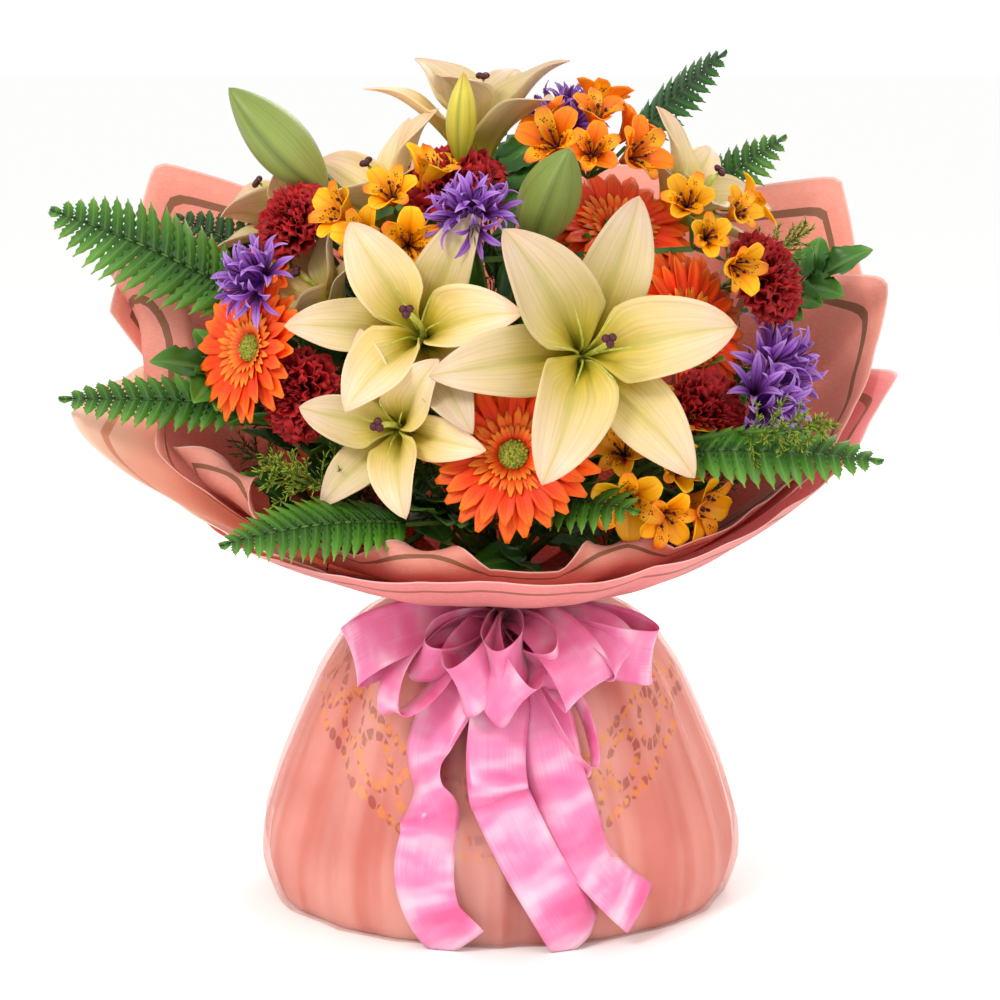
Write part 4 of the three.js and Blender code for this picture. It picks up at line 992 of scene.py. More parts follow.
def under_leaves(bm, places, seed):
    """Broad leaves, and feathery sprays darkened as painted shade, at places on the dome."""
    draw = random.Random(seed)
    for i, (root, run, feathery) in enumerate(places):
        part = new_mesh()
        if feathery:
            # Slot 2 holds the filler needles darkened as painted shade.
            plume(part, 34, 22, seed + i, 11, 9, 2)
            join(bm, part, Matrix.Translation(root) @ facing(run, 0))
            continue
        length, width = draw.uniform(34, 48), draw.uniform(17, 25)
        surface = broad_leaf(length, width, (76, 100, 1), 0, Vector((0, 0, 0)), draw.uniform(0, 6))
        sheet(part, surface, 8, 6, tone=draw.random(), thick=0.4)
        join(bm, part, Matrix.Translation(root) @ lying(run, draw.uniform(-50, 50)))


# ---- Where each bloom faces, as bearing and elevation. Its place comes from its solid. ----

# Facing, roll, length of a petal, how far it opens in degrees.
LILIES = {
    "lily_front": ((10, 14), 18, 102, 94),
    "lily_centre": ((-12, 22), -8, 86, 80),
    "lily_low": ((-20, 8), 30, 67, 84),
    "lily_top": ((0, 82), 10, 92, 60),
    "lily_top_left": ((-68, 54), 0, 84, 64),
    "lily_left": ((-62, 38), 20, 70, 64),
    "lily_far_left": ((-88, 36), 0, 78, 62),
    "lily_right": ((66, 44), 30, 78, 72),
}
# Facing, length, width, material.
BUDS = {
    "bud_left": ((-76, 44), 84, 33, "green_bud"),
    "bud_right": ((22, 52), 74, 34, "green_bud"),
    "bud_top": ((0, 86), 52, 17, "yellow_bud"),
}
# Facing, radius.
GERBERAS = {
    "gerbera_front": ((-3, 22), 48),
    "gerbera_left": ((-48, 14), 45),
    "gerbera_top": ((22, 50), 48),
    "gerbera_right": ((42, 20), 46),
    "gerbera_far_left": ((-68, 22), 40),
}
# Facing, radius.
CARNATIONS = {
    "carnation_top": ((-4, 50), 31),
    "carnation_left": ((-44, 30), 25),
    "carnation_low_left": ((-42, 6), 27),
    "carnation_right": ((52, 26), 28),
    "carnation_low_right": ((34, 8), 28),
}
# Facing, roll, length of a petal, material of the outer petals.
ALSTROEMERIAS = {
    "alstroemeria_left": ((-14, 46), 0, 30, "alstroemeria"),
    "alstroemeria_top": ((10, 62), 40, 30, "alstroemeria_orange"),
    "alstroemeria_right": ((44, 34), 20, 25, "alstroemeria"),
    "alstroemeria_front": ((26, 16), 60, 30, "alstroemeria"),
}
# Floret places in a cluster's own frame: x, y, z, bearing, elevation.
CLUSTER = (
    (-19, 4, 18, -78, 50), (15, 15, 20, 122, 48), (6, -19, 16, 14, 44), (2, 2, 27, 10, 84), (-12, -14, 20, -40, 56),
    (17, -4, 18, 80, 52), (-8, 18, 18, -150, 50),
)
# Facing, roll, length of a floret.
AGAPANTHUS = {
    "agapanthus_top": ((0, 42), 0, 29),
    "agapanthus_left": ((-58, 22), 30, 29),
    "agapanthus_right": ((66, 20), 10, 36),
    "agapanthus_low_right": ((50, 6), 50, 34),
    "agapanthus_back": ((30, 74), 20, 30),
}
# Direction of the rib, roll, length, width, droop in degrees, pairs of leaflets, material.
FRONDS = {
    "fern_left": ((-88, 26), -58, 124, 66, 26, 16, "fern"),
    "fern_upper_left": ((-96, 26), -60, 92, 44, 14, 14, "dark_fern"),
    "fern_lower_left": ((-80, 4), -50, 118, 42, 12, 15, "fern"),
    "fern_front_left": ((-58, 2), -36, 112, 50, 30, 17, "fern"),
    "fern_front": ((44, 4), 40, 70, 46, 24, 9, "fern"),
    "fern_front_right": ((70, 2), 42, 116, 48, 18, 15, "fern"),
    "fern_upper_right": ((80, 38), 56, 84, 44, 12, 13, "fern"),
    "fern_top_right": ((66, 44), 50, 84, 48, 12, 13, "dark_fern"),
}
# Direction, roll, length, length and width of a leaf.
SPRIGS = {
    "leaves_left": ((-70, 10), -40, 40, 42, 28),
    "leaves_right": ((84, 26), 40, 44, 38, 26),
    "leaves_back": ((180, 62), 0, 60, 50, 30),
    "leaves_low_left": ((-24, 14), -20, 52, 44, 28),
    "leaves_low_right": ((40, 14), 20, 52, 44, 28),
    "leaves_middle": ((-10, 40), 0, 40, 36, 22),
}
# Facing, length, reach of a twig.
PLUMES = {
    "filler_left": ((-50, 24), 54, 30),
    "filler_right": ((84, 34), 62, 32),
    "filler_low_right": ((48, 8), 56, 22),
    "filler_top_left": ((-40, 60), 38, 17),
}


# ---- Wrapping ----

NECK_Z = 191
TIE_RADIUS = 22.05  # middle radius of the innermost sheet at the tie
LAYER_PITCH = 1.3
LAYER_SPREAD = 1.5
BOWL_LAYER = 4
TIE_LAYERS = 7  # the ribbon lies outside this many layers at the tie
SLEEVE = 0.2  # share of a collar sheet that stands straight inside the tie
SLEEVE_FOOT = NECK_Z - 4.5
BOWL_Z = NECK_Z + 3.4
BOWL_FOOT = 27  # radius where the bowl starts
# The bowl that the collar sheets lie in, as its rim runs round: bearing, radius, height.
BOWL = (
    (-180, 174, 442), (-165, 172, 440), (-150, 172, 432), (-135, 178, 424), (-120, 186, 421), (-113, 227, 425),
    (-102, 234, 392), (-92, 242, 362), (-85, 237, 332), (-75, 228, 296), (-60, 207, 266), (-45, 200, 248),
    (-30, 198, 236), (-15, 196, 229), (0, 196, 228), (15, 196, 229), (30, 198, 237), (45, 201, 250),
    (60, 206, 268), (75, 217, 295), (86, 228, 322), (97, 231, 356), (106, 227, 392), (114, 223, 418),
    (121, 182, 421), (135, 176, 424), (150, 172, 432), (165, 172, 440), (180, 174, 442),
)
# Each collar sheet: layer, material, flat size in metres, and rim knots of bearing, share of the way out,
# and how far the edge is pushed out and up.
COLLAR = {
    "collar_inner": (2, "wrap", (0.36, 0.18), (
        (-75, 0.86, 0, 2), (-60, 0.9, 0, 4), (-45, 0.93, 1, 2), (-30, 0.88, 0, 5), (-15, 0.92, 2, 1), (0, 0.87, 0, 4),
        (15, 0.92, 1, 2), (30, 0.87, 0, 4), (45, 0.91, 2, 1), (60, 0.88, 0, 4), (75, 0.86, 0, 2))),
    "collar_left": (3, "wrap", (0.2, 0.25), (
        (-120, 0.9, 0, 0), (-113, 0.88, 0, 0), (-102, 0.93, 2, 0), (-92, 1, 2, 2), (-85, 0.95, 0, 0),
        (-75, 0.92, 0, 0), (-60, 0.9, 0, 0))),
    "collar_right": (3, "wrap", (0.2, 0.245), (
        (60, 0.92, 0, 0), (75, 0.95, 0, 0), (86, 0.97, 0, 0), (97, 1, 0, 0), (106, 0.93, 0, 0),
        (114, 0.88, 0, 0), (121, 0.92, 0, 0))),
    "collar_back": (4, "wrap", (0.5, 0.28), (
        (97, 0.97, 0, 0), (106, 0.99, 0, 0), (114, 1, 0, 0), (121, 1, 0, 0), (135, 0.98, 0, 0), (150, 1, 0, 0),
        (165, 0.98, 0, 0), (180, 1, 0, 0), (195, 0.98, 0, 0), (210, 1, 0, 0), (225, 0.98, 0, 0),
        (240, 1, 0, 0), (247, 1, 0, 0), (258, 0.98, 0, 0), (268, 0.96, 0, 0))),
    "collar_flap": (5, "wrap_peach", (0.215, 0.22), (
        (-102, 0.72, 2, -4), (-92, 0.86, 5, -8), (-85, 0.96, 9, -14), (-75, 1.02, 9, -16),
        (-60, 0.99, 6, -9), (-45, 0.98, 3, -6), (-30, 0.96, 2, -4))),
    "collar_front": (6, "wrap_rose", (0.44, 0.2), (
        (-60, 0.9, 2, -6), (-45, 0.96, 3, -6), (-30, 0.99, 3, -4), (-15, 1, 0, 0), (0, 1, 0, 0), (15, 1, 0, 0),
        (30, 1, 0, 0), (45, 1, 0, 0), (60, 1, 0, 0), (75, 1, 0, 0), (86, 0.98, 0, -4), (97, 0.9, 0, -4))),
}
SKIRT_TOP = 196
# The skirt's silhouette from the hem up to the tie: height, radius beyond the tie.
SKIRT = (
    (0, 113), (8, 117.5), (24, 121.5), (44, 120), (76, 110), (106, 97.5), (136, 84), (163, 66), (174, 53),
    (179, 40), (181, 24), (182.5, 9), (186, 0), (SKIRT_TOP, 0),
)
SKIRT_DEPTH = 0.95  # front to back, as a share of its width
SKIRT_PLEATS = 23
SKIRT_GRID = (46, 300)
# Heights of the rows of a skirt sheet, close together where it turns: share of the way down, height.
HEM_STEPS = (
    (0.0, SKIRT_TOP), (0.05, 187), (0.12, 183), (0.2, 181.4), (0.28, 179.6), (0.36, 174), (0.46, 163), (0.56, 140),
    (0.68, 105), (0.8, 68), (0.9, 34), (0.96, 12), (1.0, 0),
)
SKIRT_ROUND = 130  # mean radii, which turn bearings into millimetres round each sheet
LINING_ROUND = 120
GARLAND_LOW = 72  # height of the garland's middle line at the front, and how much higher it is at the sides
GARLAND_RISE = 76
TOP_TUCK = 2.2  # how far the outer sheet's top edge is tucked in under the twine


def smoothed(table, x, reach=3.5):
    """A table's value averaged over a short stretch, which rounds its corners."""
    values = [along_table(table, clamp(x + d * reach, table[0][0], table[-1][0])) for d in (-1, -0.5, 0, 0.5, 1)]
    return [sum(v[k] for v in values) / len(values) for k in range(len(values[0]))]


def wrapped(bearing):
    return (bearing + 180) % 360 - 180


def bowl_rim(bearing):
    return smoothed(BOWL, wrapped(bearing), 1.4)


def bowl_power(bearing):
    """How late the bowl rises on its way out: late at the front and nearly evenly at the back."""
    return mix(3.2, 1.25, min(abs(wrapped(bearing)) / 150, 1) ** 0.8)


def bowl_radius(bearing, z):
    """How far out the collar's bowl is at a bearing and height."""
    rim_radius, rim_height = bowl_rim(bearing)
    return mix(BOWL_FOOT, rim_radius, clamp((z - BOWL_Z) / (rim_height - BOWL_Z)) ** (1 / bowl_power(bearing)))


def crease(angle):
    """A wave from -1 to 1 with crisp ridges and soft hollows."""
    return 1 - 2 * abs(math.sin(angle / 2))


def fold(bearing, out):
    """Soft folds that radiate from the tie and are shared by every layer, in millimetres."""
    b = math.radians(bearing)
    wave = crease(13 * b + 0.8) + 0.7 * math.sin(8 * b + 1.9) + 0.4 * crease(29 * b)
    return 1.1 * wave * ease(0.25, 0.9, out)


def collar_point(layer, rim, u, bearing):
    order = layer - BOWL_LAYER
    core = TIE_RADIUS + LAYER_PITCH * BOWL_LAYER
    start_radius, start_z = core + LAYER_PITCH * order, BOWL_Z - LAYER_PITCH * order
    if u <= SLEEVE:
        return around(bearing, start_radius, mix(SLEEVE_FOOT, start_z, u / SLEEVE))
    rim_radius, rim_height = bowl_rim(bearing)
    share, push, raised = smoothed(rim, bearing, 2)
    out = (u - SLEEVE) / (1 - SLEEVE)
    t = out if out < 0.75 else mix(0.75, share, (out - 0.75) * 4)
    power = bowl_power(bearing)
    rise = rim_height - BOWL_Z
    slope = Vector((rim_radius, rise * power * max(t, 1e-4) ** (power - 1))).normalized()
    off = order * (LAYER_PITCH + LAYER_SPREAD * t) - fold(bearing, t)
    bend = max(2 * out - 1, 0) ** 2
    radius = mix(core, rim_radius, t) + off * slope.y + push * bend
    height = BOWL_Z + rise * t**power - off * slope.x + raised * bend
    return around(bearing, radius, height)


# Where a sheet's rim rolls inward: bearing of each roll's middle, and how far it spreads to either side.
ROLLS = {
    "collar_inner": ((-62, 15), (-14, 13), (22, 12)),
    "collar_left": ((-84, 12),),
    "collar_flap": ((-96, 6),),
}
ROLL_FROM = 0.84
ROLL_TURN = 3.6  # radians that a full roll turns through
# Where a sheet's cut corner stands out from its rim.
CORNERS = {
    "collar_back": (113, 247), "collar_left": (-93,), "collar_right": (97,), "collar_flap": (-78,),
    "collar_front": (84,),
}
CORNER_REACH = 13
CORNER_SPREAD = 8
COLLAR_ROWS = 44
COLUMN_WIDTH = 1.2  # degrees


def rolled(name, bearing):
    """How much of a full roll a sheet's rim has at a bearing, from 0 to 1."""
    return max((1 - ease(0, 1, abs(bearing - middle) / spread) for middle, spread in ROLLS.get(name, ())), default=0)


def collar_piece(name):
    layer, material, flat, rim = COLLAR[name]
    first, last = rim[0][0], rim[-1][0]
    bm = new_mesh()
    length_mm = flat[1] / MM

    def surface(u, v):
        bearing = mix(first, last, (v + 1) / 2)
        spot = collar_point(layer, rim, u, bearing)
        roll = rolled(name, bearing)
        point = max((1 - abs(bearing - corner) / CORNER_SPREAD for corner in CORNERS.get(name, ())), default=0)
        if point > 0:
            away = (spot - collar_point(layer, rim, u - 0.02, bearing)).normalized()
            spot += away * CORNER_REACH * point * ease(0.7, 1.0, u)
        if roll < 0.02 or u < 0.6:
            return spot
        base = collar_point(layer, rim, ROLL_FROM, bearing)
        ahead = collar_point(layer, rim, 1.0, bearing) - base
        length = ahead.length
        ahead.normalize()
        inward = ahead.cross(heading(bearing + 90))
        longer = ahead * length * 0.5 * roll * ease(0.6, ROLL_FROM, u)
        if u <= ROLL_FROM:
            return spot + longer
        turn = ROLL_TURN * roll
        angle = turn * (u - ROLL_FROM) / (1 - ROLL_FROM)
        return base + longer + (ahead * math.sin(angle) + inward * (1 - math.cos(angle))) * length / turn

    def cloth(u, v):
        rim_radius, _ = bowl_rim(mix(first, last, (v + 1) / 2))
        side = math.radians(last - first) / 2 * (1 - abs(v)) * mix(BOWL_FOOT + 1, rim_radius, u)
        return side, (1 - u) * length_mm

    columns = max(int((last - first) / COLUMN_WIDTH), 24)
    sheet(bm, surface, COLLAR_ROWS, columns, cloth=cloth, flip=True)
    piece = finish_piece(name + "_sheet", bm, [material], [name], 0.5)


def skirt_radius(z):
    """The skirt's outer radius at a height."""
    return TIE_RADIUS + LAYER_PITCH + 0.5 + along_table(SKIRT, clamp(z, 0, SKIRT_TOP))[0]


def skirt_point(z, bearing, inward, pleat_depth):
    radius = sum(skirt_radius(z + d) for d in (-3, 0, 3)) / 3 - inward
    b = math.radians(bearing)
    strength = 0.75 + 0.5 * math.sin(2.0 * b + 0.7) * math.cos(5 * b)
    wave = strength * crease(SKIRT_PLEATS * b + 2.1 * math.sin(3 * b))
    wave += 0.6 * math.cos(11 * b + 1.3 + math.sin(2 * b))
    radius += pleat_depth * ease(182, 150, z) * mix(0.35, 1, ease(0, 60, z)) * wave
    flatten = mix(1, SKIRT_DEPTH, ease(40, 110, radius))
    place = heading(bearing) * radius
    return Vector((place.x, place.y * flatten, z))


def skirt_sheet(inward, hem, pleat_depth, spread, cloth):
    """A skirt sheet from the tie to the hem. spread gives its first and last bearing and how far it steps in."""
    bm = new_mesh()
    first, last, step_in = spread

    def surface(u, v):
        t = (v + 1) / 2
        bearing = mix(first, last, t)
        z = max(along_table(HEM_STEPS, u)[0], hem)
        tuck = TOP_TUCK if u < 0.001 and step_in else 0
        return skirt_point(z, bearing, inward + step_in * t + tuck, pleat_depth)

    sheet(bm, surface, *SKIRT_GRID, cloth=cloth, flip=True)
    return bm


# ---- Ribbon ----

RIBBON_HALF = 17
RIBBON_LIFT = 0.6  # the ribbon's middle stays this far above the floor
KNOT = Vector((2, -80, 179.5))
# Bow loops: far end, how far the ribbon stands out from a straight line to it, half width, and how far the
# loop is turned so that its open side shows.
LOOPS = (
    ((-84, -98, 160), 18, 18, 22), ((-56, -122, 130), 20, 13, 66), ((-28, -132, 150), 19, 17, -38),
    ((16, -134, 140), 22, 17, 48), ((50, -124, 144), 20, 18, -20), ((88, -96, 166), 17, 18, 24),
    ((-48, -118, 170), 16, 16, -52), ((38, -124, 166), 17, 15, 58), ((-6, -138, 160), 17, 17, -66),
    ((56, -118, 104), 15, 8, 72), ((70, -110, 158), 16, 16, -48),
)
# A loop's middle line: share of the way to its far end, and share of its swell to either side.
LOOP_LINE = ((0.06, 0.1), (0.4, 0.75), (0.8, 0.95), (1, 0.4), (0.8, -0.15), (0.4, -0.1), (0.06, -0.1))
# Tails on the front of the skirt, from the bow down: x, height, distance from the skirt, and turn of the ribbon.
TAILS = (
    ((-10, 168, 14, 0), (-27, 143, 12, 14), (-42, 114, 11, 24), (-43, 92, 13, 40), (-39, 72, 12, -34),
     (-43, 46, 9, -12), (-38, 22, 8, 10), (-22, 3, 8, 20)),
    ((2, 166, 15, 0), (1, 140, 14, -10), (-2, 112, 12, -8), (-1, 94, 17, 0), (2, 84, 9, 0),
     (16, 56, 9, 10), (33, 28, 9, 8), (46, 3, 8, 0)),
    ((12, 166, 12, 0), (24, 130, 9, 16), (33, 92, 7, 20), (49, 58, 6, -14), (66, 36, 6, -18), (81, 21, 7, -6)),
)


def on_skirt(x, z, off=8.0):
    radius = skirt_radius(z) + off
    flatten = mix(1, SKIRT_DEPTH, min(radius / 110, 1))
    return Vector((x, -math.sqrt(max(radius**2 - x**2, 1)) * flatten, z))


def near(t):
    """1 at an end of a ribbon, and fading away from it."""
    return math.exp(-((t / 0.14) ** 2))


def ribbon_strip(name, points, wide, rows, crumple, closed=False):
    """A length of satin along a smooth line: wide(t) is its half width, and it is crumpled where it is tied."""
    bm = new_mesh()

    def surface(u, v):
        half = wide(u)
        lift = curve_heading(points, u).cross(half).normalized()
        pinch = crumple * (near(u) + (near(1 - u) if closed else 0))
        folds = pinch * math.cos(3 * math.pi * v) + 2.2 * v * v
        spot = curve_point(points, u) + half * v + lift * folds
        spot.z = max(spot.z, RIBBON_LIFT)
        return spot

    length = sum((curve_point(points, (i + 1) / 60) - curve_point(points, i / 60)).length for i in range(60))
    sheet(bm, surface, rows, 12, cloth=lambda u, v: (RIBBON_HALF * v, u * length))
    piece = finish_piece(name, bm, ["satin"], (), 0.35)
    width = 2 * sum(wide((i + 0.5) / 20).length for i in range(20)) / 20


def bow_loop(index, end, swell, half, open_by):
    far = Vector(end)
    along = (far - KNOT).normalized()
    out = far + KNOT
    out.z = 0
    out = (out - along * out.dot(along)).normalized()
    turn = Matrix.Rotation(math.radians(open_by), 3, along)
    out, across = turn @ out, turn @ out.cross(along) * half
    points = []
    for share, side in LOOP_LINE:
        spot = KNOT.lerp(far, share) + out * swell * side
        spot.z += (KNOT.z - far.z) * (share - share**1.6) + 3 * math.sin(math.pi * share)
        points.append(spot)
    wide = lambda t: across * mix(0.22, 1, math.sin(math.pi * clamp(t)) ** 0.45)
    ribbon_strip(f"bow_loop_{index + 1}", points, wide, 48, 2.2, closed=True)


def ribbon_tail(index, knots):
    points = [KNOT.lerp(on_skirt(*knots[0][:3]), 0.1)] + [on_skirt(x, z, off) for x, z, off, _ in knots]
    turns = [Vector((0, 0, 0))] + [Vector((turn, 0, 0)) for *_, turn in knots]

    def wide(t):
        out = curve_point(points, t)
        out.z = 25
        half = RIBBON_HALF * mix(0.2, 1, min(t * 4, 1)) * mix(1, 0.55, ease(0.97, 1.0, t) if index == 1 else 0)
        head = curve_heading(points, t)
        curl = Matrix.Rotation(math.radians(curve_point(turns, t).x), 3, head)
        return curl @ head.cross(out.normalized()).normalized() * half

    ribbon_strip(f"bow_tail_{index + 1}", points, wide, 72, 2.4)


# ---- Operators ----

FLOOR_HALF = 60  # metres
ROOM_LIGHT = 1.02
# Each lamp: name, place and size in metres, and power in watts.
LAMPS = (
    ("key_light", (-1.1, -1.7, 1.9), 0.8, 34),
    ("fill_light", (1.7, -1.3, 1.1), 1.2, 8),
    ("back_light", (0.6, 1.6, 1.6), 1.0, 16),
)
LAMPS_AIM = 0.28  # height that they point at


class BouquetSizes(bpy.types.PropertyGroup):
    """Sizes that a user would change."""

    camera_distance: bpy.props.FloatProperty(
        name="Camera distance", description="From the bouquet's axis to the camera", default=1.7, unit="LENGTH"
    )
    camera_elevation: bpy.props.FloatProperty(
        name="Camera elevation",
        description="Angle of view above the horizon",
        default=math.radians(9),
        subtype="ANGLE",
    )
    view_height: bpy.props.FloatProperty(
        name="View height", description="Height that the camera looks at", default=0.2372, unit="LENGTH"
    )
    view_width: bpy.props.FloatProperty(
        name="View width", description="Width seen at the bouquet's axis", default=0.6, unit="LENGTH"
    )


class BouquetColours(bpy.types.PropertyGroup):
    """Colours of the setting."""

    floor: bpy.props.FloatVectorProperty(
        name="Floor", description="Pale studio floor", size=3, subtype="COLOR", default=linear("fbfbfa")
    )
    light: bpy.props.FloatVectorProperty(
        name="Light", description="Soft studio light", size=3, subtype="COLOR", default=linear("fffdf8")
    )


class StageOperator(bpy.types.Operator):
    """Make the floor, the soft studio light and the camera"""

    bl_idname = "bouquet.stage"
    bl_label = "Stage"

    def execute(self, context):
        scene = context.scene
        sizes, colours = scene.bouquet_sizes, scene.bouquet_colours
        bm = bmesh.new()
        bmesh.ops.create_grid(bm, x_segments=2, y_segments=2, size=FLOOR_HALF)
        mesh = bpy.data.meshes.new("studio_floor")
        bm.to_mesh(mesh)
        bm.free()
        floor = bpy.data.objects.new("studio_floor", mesh)
        scene.collection.objects.link(floor)
        material, tree = start_material("Matte white studio floor")
        place = node(tree, "ShaderNodeTexCoord").outputs["Object"]
        grain = node(tree, "ShaderNodeTexNoise", {"Vector": place, "Scale": 60.0}).outputs["Fac"]
        bump = node(tree, "ShaderNodeBump", {"Height": grain, "Strength": 0.05, "Distance": 0.0005}).outputs[0]
        inputs = {"Base Color": (*colours.floor, 1), "Roughness": 0.8, "Normal": bump}
        shader = node(tree, "ShaderNodeBsdfPrincipled", inputs)
        node(tree, "ShaderNodeOutputMaterial", {"Surface": shader.outputs[0]})
        mesh.materials.append(material)

        camera = bpy.data.objects.new("camera", bpy.data.cameras.new("camera"))
        scene.collection.objects.link(camera)
        tilt, away = sizes.camera_elevation, sizes.camera_distance
        camera.location = (0, -math.cos(tilt) * away, sizes.view_height + math.sin(tilt) * away)
        camera.rotation_euler = (math.pi / 2 - tilt, 0, 0)
        camera.data.sensor_width = 36
        camera.data.lens = camera.data.sensor_width * away / sizes.view_width
        scene.camera = camera

        world = bpy.data.worlds.new("Soft white room")
        world.use_nodes = True
        world.node_tree.nodes["Background"].inputs["Color"].default_value = (1, 1, 1, 1)
        world.node_tree.nodes["Background"].inputs["Strength"].default_value = ROOM_LIGHT
        scene.world = world
        for name, spot, size, power in LAMPS:
            lamp = bpy.data.lights.new(name, "AREA")
            lamp.shape = "DISK"
            lamp.size = size
            lamp.energy = power
            lamp.color = colours.light
            light = bpy.data.objects.new(name, lamp)
            light.location = spot
            aim = UP * LAMPS_AIM - Vector(spot)
            light.rotation_euler = aim.to_track_quat("-Z", "Y").to_euler()
            scene.collection.objects.link(light)
        scene.view_settings.view_transform = "Standard"
        return {"FINISHED"}


class SkirtOperator(bpy.types.Operator):
    """Make the sheer pleated skirt and its printed lining"""

    bl_idname = "bouquet.skirt"
    bl_label = "Skirt"

    def execute(self, context):
        plain = lambda u, v: (math.radians(195 * v) * SKIRT_ROUND, along_table(HEM_STEPS, u)[0])
        bm = skirt_sheet(inward=0.0, hem=0.5, pleat_depth=3.6, spread=(12, -378, 1.6), cloth=plain)
        outer = finish_piece("skirt_outer_sheet", bm, ["wrap_skirt"], ["skirt_outer"], 0.4)

        def garland(u, v):
            bearing = math.radians(180 * v)
            height = along_table(HEM_STEPS, u)[0]
            return bearing * LINING_ROUND, height - GARLAND_LOW - GARLAND_RISE * math.sin(bearing) ** 2

        bm = skirt_sheet(inward=4.8, hem=1.2, pleat_depth=2.6, spread=(180, -180, 0.0), cloth=garland)
        lining = finish_piece("skirt_lining_sheet", bm, ["lining"], ["skirt_lining"], 0.4)
        return {"FINISHED"}


class CollarOperator(bpy.types.Operator):
    """Make the collar's overlapping sheets"""

    bl_idname = "bouquet.collar"
    bl_label = "Collar"

    def execute(self, context):
        for name in COLLAR:
            collar_piece(name)
        return {"FINISHED"}


class StemsOperator(bpy.types.Operator):
    """Finish the stems and the twine that binds them"""

    bl_idname = "bouquet.stems"
    bl_label = "Stems and twine"

    def execute(self, context):
        for name, material in (("stems", "stem"), ("binding", "twine")):
            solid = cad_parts[name]
            solid.data.materials.clear()
            solid.data.materials.append(finish(material))
        return {"FINISHED"}


class RibbonOperator(bpy.types.Operator):
    """Make the satin bow's loops, tails and knot"""

    bl_idname = "bouquet.ribbon"
    bl_label = "Ribbon bow"

    def execute(self, context):
        for index, loop in enumerate(LOOPS):
            bow_loop(index, *loop)
        for index, knots in enumerate(TAILS):
            ribbon_tail(index, knots)
        strap_radius = TIE_RADIUS + TIE_LAYERS * LAYER_PITCH
        hoop = [around(a, strap_radius, 187) for a in range(0, 361, 15)]
        ribbon_strip("bow_band", hoop, lambda t: UP * 5.3, 96, 0.0)
        strap = [Vector((1, -strap_radius, 187.5)), Vector((2, -56, 186)), KNOT.copy()]
        ribbon_strip("bow_strap", strap, lambda t: Vector((6, 0, 0)), 12, 0.0)

        bm = new_mesh()

        def knot(u, v):
            angle = math.pi * v
            body = (6.6 + 0.7 * math.cos(7 * angle)) * math.sin(math.pi * u) ** 0.5
            return KNOT + Vector((-9 + 18 * u, body * math.cos(angle), body * 1.1 * math.sin(angle)))

        sheet(bm, knot, 14, 28, cloth=lambda u, v: (20 * u, 20 * v), weld=True)
        bmesh.ops.recalc_face_normals(bm, faces=bm.faces[:])
        finish_piece("bow_knot", bm, ["satin"], ["ribbon_bow"])
        return {"FINISHED"}


class LiliesOperator(bpy.types.Operator):
    """Make the open lilies"""

    bl_idname = "bouquet.lilies"
    bl_label = "Lilies"

    def execute(self, context):
        for index, (name, (face, roll, length, open_by)) in enumerate(LILIES.items()):
            bm = new_mesh()
            lily(bm, length, open_by, index + 1)
            finishes = ("lily_petal", "lily_filament", "lily_stigma")
            dress(bm, name, facing(heading(*face), roll), "_bloom", finishes)
        return {"FINISHED"}


class BudsOperator(bpy.types.Operator):
    """Make the closed buds"""

    bl_idname = "bouquet.buds"
    bl_label = "Buds"

    def execute(self, context):
        for name, (face, length, width, material) in BUDS.items():
            bm = new_mesh()
            bud(bm, length, width)
            dress(bm, name, facing(heading(*face), 20), "_skin", [material])
        return {"FINISHED"}


class GerberasOperator(bpy.types.Operator):
    """Make the gerberas"""

    bl_idname = "bouquet.gerberas"
    bl_label = "Gerberas"

    def execute(self, context):
        for index, (name, (face, radius)) in enumerate(GERBERAS.items()):
            bm = new_mesh()
            gerbera(bm, radius, index + 11)
            finishes = ("gerbera_ray", "gerbera_fringe", "gerbera_eye", "stem")
            dress(bm, name, facing(heading(*face), 0), "_bloom", finishes)
        return {"FINISHED"}


class CarnationsOperator(bpy.types.Operator):
    """Make the carnations"""

    bl_idname = "bouquet.carnations"
    bl_label = "Carnations"

    def execute(self, context):
        for index, (name, (face, radius)) in enumerate(CARNATIONS.items()):
            bm = new_mesh()
            carnation(bm, radius, index + 21)
            dress(bm, name, facing(heading(*face), 0), "_bloom", ("carnation", "stem"))
        return {"FINISHED"}


class AlstroemeriasOperator(bpy.types.Operator):
    """Make the alstroemeria clusters"""

    bl_idname = "bouquet.alstroemerias"
    bl_label = "Alstroemerias"

    def execute(self, context):
        for index, (name, (face, roll, length, material)) in enumerate(ALSTROEMERIAS.items()):
            bm = new_mesh()
            florets = 5 if name in ("alstroemeria_left", "alstroemeria_right") else 7
            for i, (x, y, z, bearing, elevation) in enumerate(CLUSTER[:florets]):
                part = new_mesh()
                alstroemeria_floret(part, length * (1 if i < 3 else 0.82), 31 + 7 * index + i)
                place = Vector((x, y, z))
                join(bm, part, Matrix.Translation(place) @ facing(heading(bearing, elevation), 40 * i))
                tube(bm, [Vector((0, 0, -3)), place * 0.5, place], 1.3, 1.3, rows=6, slot=3)
            finishes = (material, "alstroemeria_flecked", "lily_stigma", "stem")
            dress(bm, name, facing(heading(*face), roll), "_cluster", finishes)
        return {"FINISHED"}


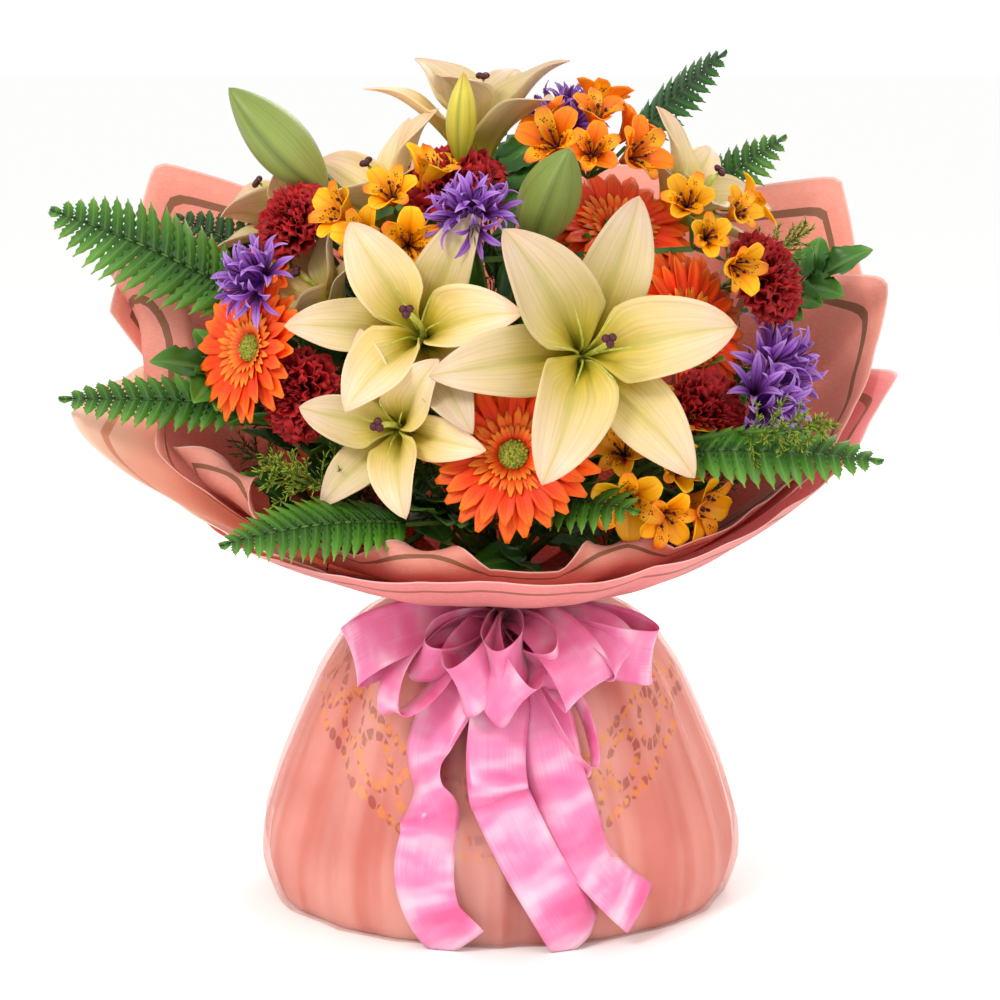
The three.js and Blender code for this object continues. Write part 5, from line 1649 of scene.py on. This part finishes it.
class AgapanthusOperator(bpy.types.Operator):
    """Make the agapanthus heads"""

    bl_idname = "bouquet.agapanthus"
    bl_label = "Agapanthus"

    def execute(self, context):
        for index, (name, (face, roll, length)) in enumerate(AGAPANTHUS.items()):
            draw = random.Random(51 + index)
            bm = new_mesh()
            places = [(0, 88)] + [(72 * i + draw.uniform(0, 30), 22 + 12 * (i % 2)) for i in range(5)]
            places += [(120 * i + draw.uniform(40, 80), 52 + 8 * (i % 2)) for i in range(3)]
            for i, (bearing, elevation) in enumerate(places):
                part = new_mesh()
                agapanthus_floret(part, length * (1.04 if i < 6 else 0.92), 60 + 11 * index + i)
                join(bm, part, facing(heading(bearing, elevation), draw.uniform(0, 60)))
            turn = facing(heading(*face), roll)
            dress(bm, name, turn, "_head", ("agapanthus", "lily_stigma"))
        return {"FINISHED"}


class FernsOperator(bpy.types.Operator):
    """Make the fern fronds"""

    bl_idname = "bouquet.ferns"
    bl_label = "Ferns"

    def execute(self, context):
        for index, (name, (run, roll, length, width, droop, leaflets, material)) in enumerate(FRONDS.items()):
            bm = new_mesh()
            frond(bm, length, width, droop, 71 + index, leaflets)
            dress(bm, name, lying(heading(*run), roll), "_frond", (material, "stem"))
        return {"FINISHED"}


class LeavesOperator(bpy.types.Operator):
    """Make the leafy sprigs and the leaves low down between the blooms"""

    bl_idname = "bouquet.leaves"
    bl_label = "Leafy sprigs"

    def execute(self, context):
        low_leaves = share_out(SPRIGS)
        for index, (name, (run, roll, length, leaf_length, leaf_width)) in enumerate(SPRIGS.items()):
            bm = new_mesh()
            sprig(bm, length, leaf_length, leaf_width, 81 + index)
            settle(bm, name, lying(heading(*run), roll))
            under_leaves(bm, low_leaves[name], 101 + index)
            # The third finish is the filler needle darkened as painted shade, for the low sprays.
            finish_piece(name + "_sprig", bm, ("leaf", "stem", "shaded_filler"), [name])
        return {"FINISHED"}


class FillersOperator(bpy.types.Operator):
    """Make the feathery filler sprays"""

    bl_idname = "bouquet.fillers"
    bl_label = "Filler sprays"

    def execute(self, context):
        for index, (name, (face, length, reach)) in enumerate(PLUMES.items()):
            bm = new_mesh()
            plume(bm, length, reach, 91 + index, 24, 18)
            dress(bm, name, facing(heading(*face), 0), "_spray", ("filler", "stem"), 0.25)
        return {"FINISHED"}


STEPS = (
    StageOperator, SkirtOperator, CollarOperator, StemsOperator, RibbonOperator, LiliesOperator, BudsOperator,
    GerberasOperator, CarnationsOperator, AlstroemeriasOperator, AgapanthusOperator, FernsOperator, LeavesOperator,
    FillersOperator,
)


class BouquetPanel(bpy.types.Panel):
    """Lists the bouquet's pieces in the order in which they are made"""

    bl_idname = "VIEW3D_PT_bouquet"
    bl_label = "Bouquet"
    bl_space_type = "VIEW_3D"
    bl_region_type = "UI"
    bl_category = "Bouquet"

    def draw(self, context):
        for group in (context.scene.bouquet_sizes, context.scene.bouquet_colours):
            for name in group.__annotations__:
                self.layout.prop(group, name)
        for step in STEPS:
            self.layout.operator(step.bl_idname)


CLASSES = (BouquetSizes, BouquetColours, *STEPS, BouquetPanel)


def register():
    for item in CLASSES:
        bpy.utils.register_class(item)
    bpy.types.Scene.bouquet_sizes = bpy.props.PointerProperty(type=BouquetSizes)
    bpy.types.Scene.bouquet_colours = bpy.props.PointerProperty(type=BouquetColours)


def unregister():
    del bpy.types.Scene.bouquet_colours
    del bpy.types.Scene.bouquet_sizes
    for item in reversed(CLASSES):
        bpy.utils.unregister_class(item)


def main():
    register()
    for step in STEPS:
        group, name = step.bl_idname.split(".")
        getattr(getattr(bpy.ops, group), name)()


if __name__ == "__main__":
    main()
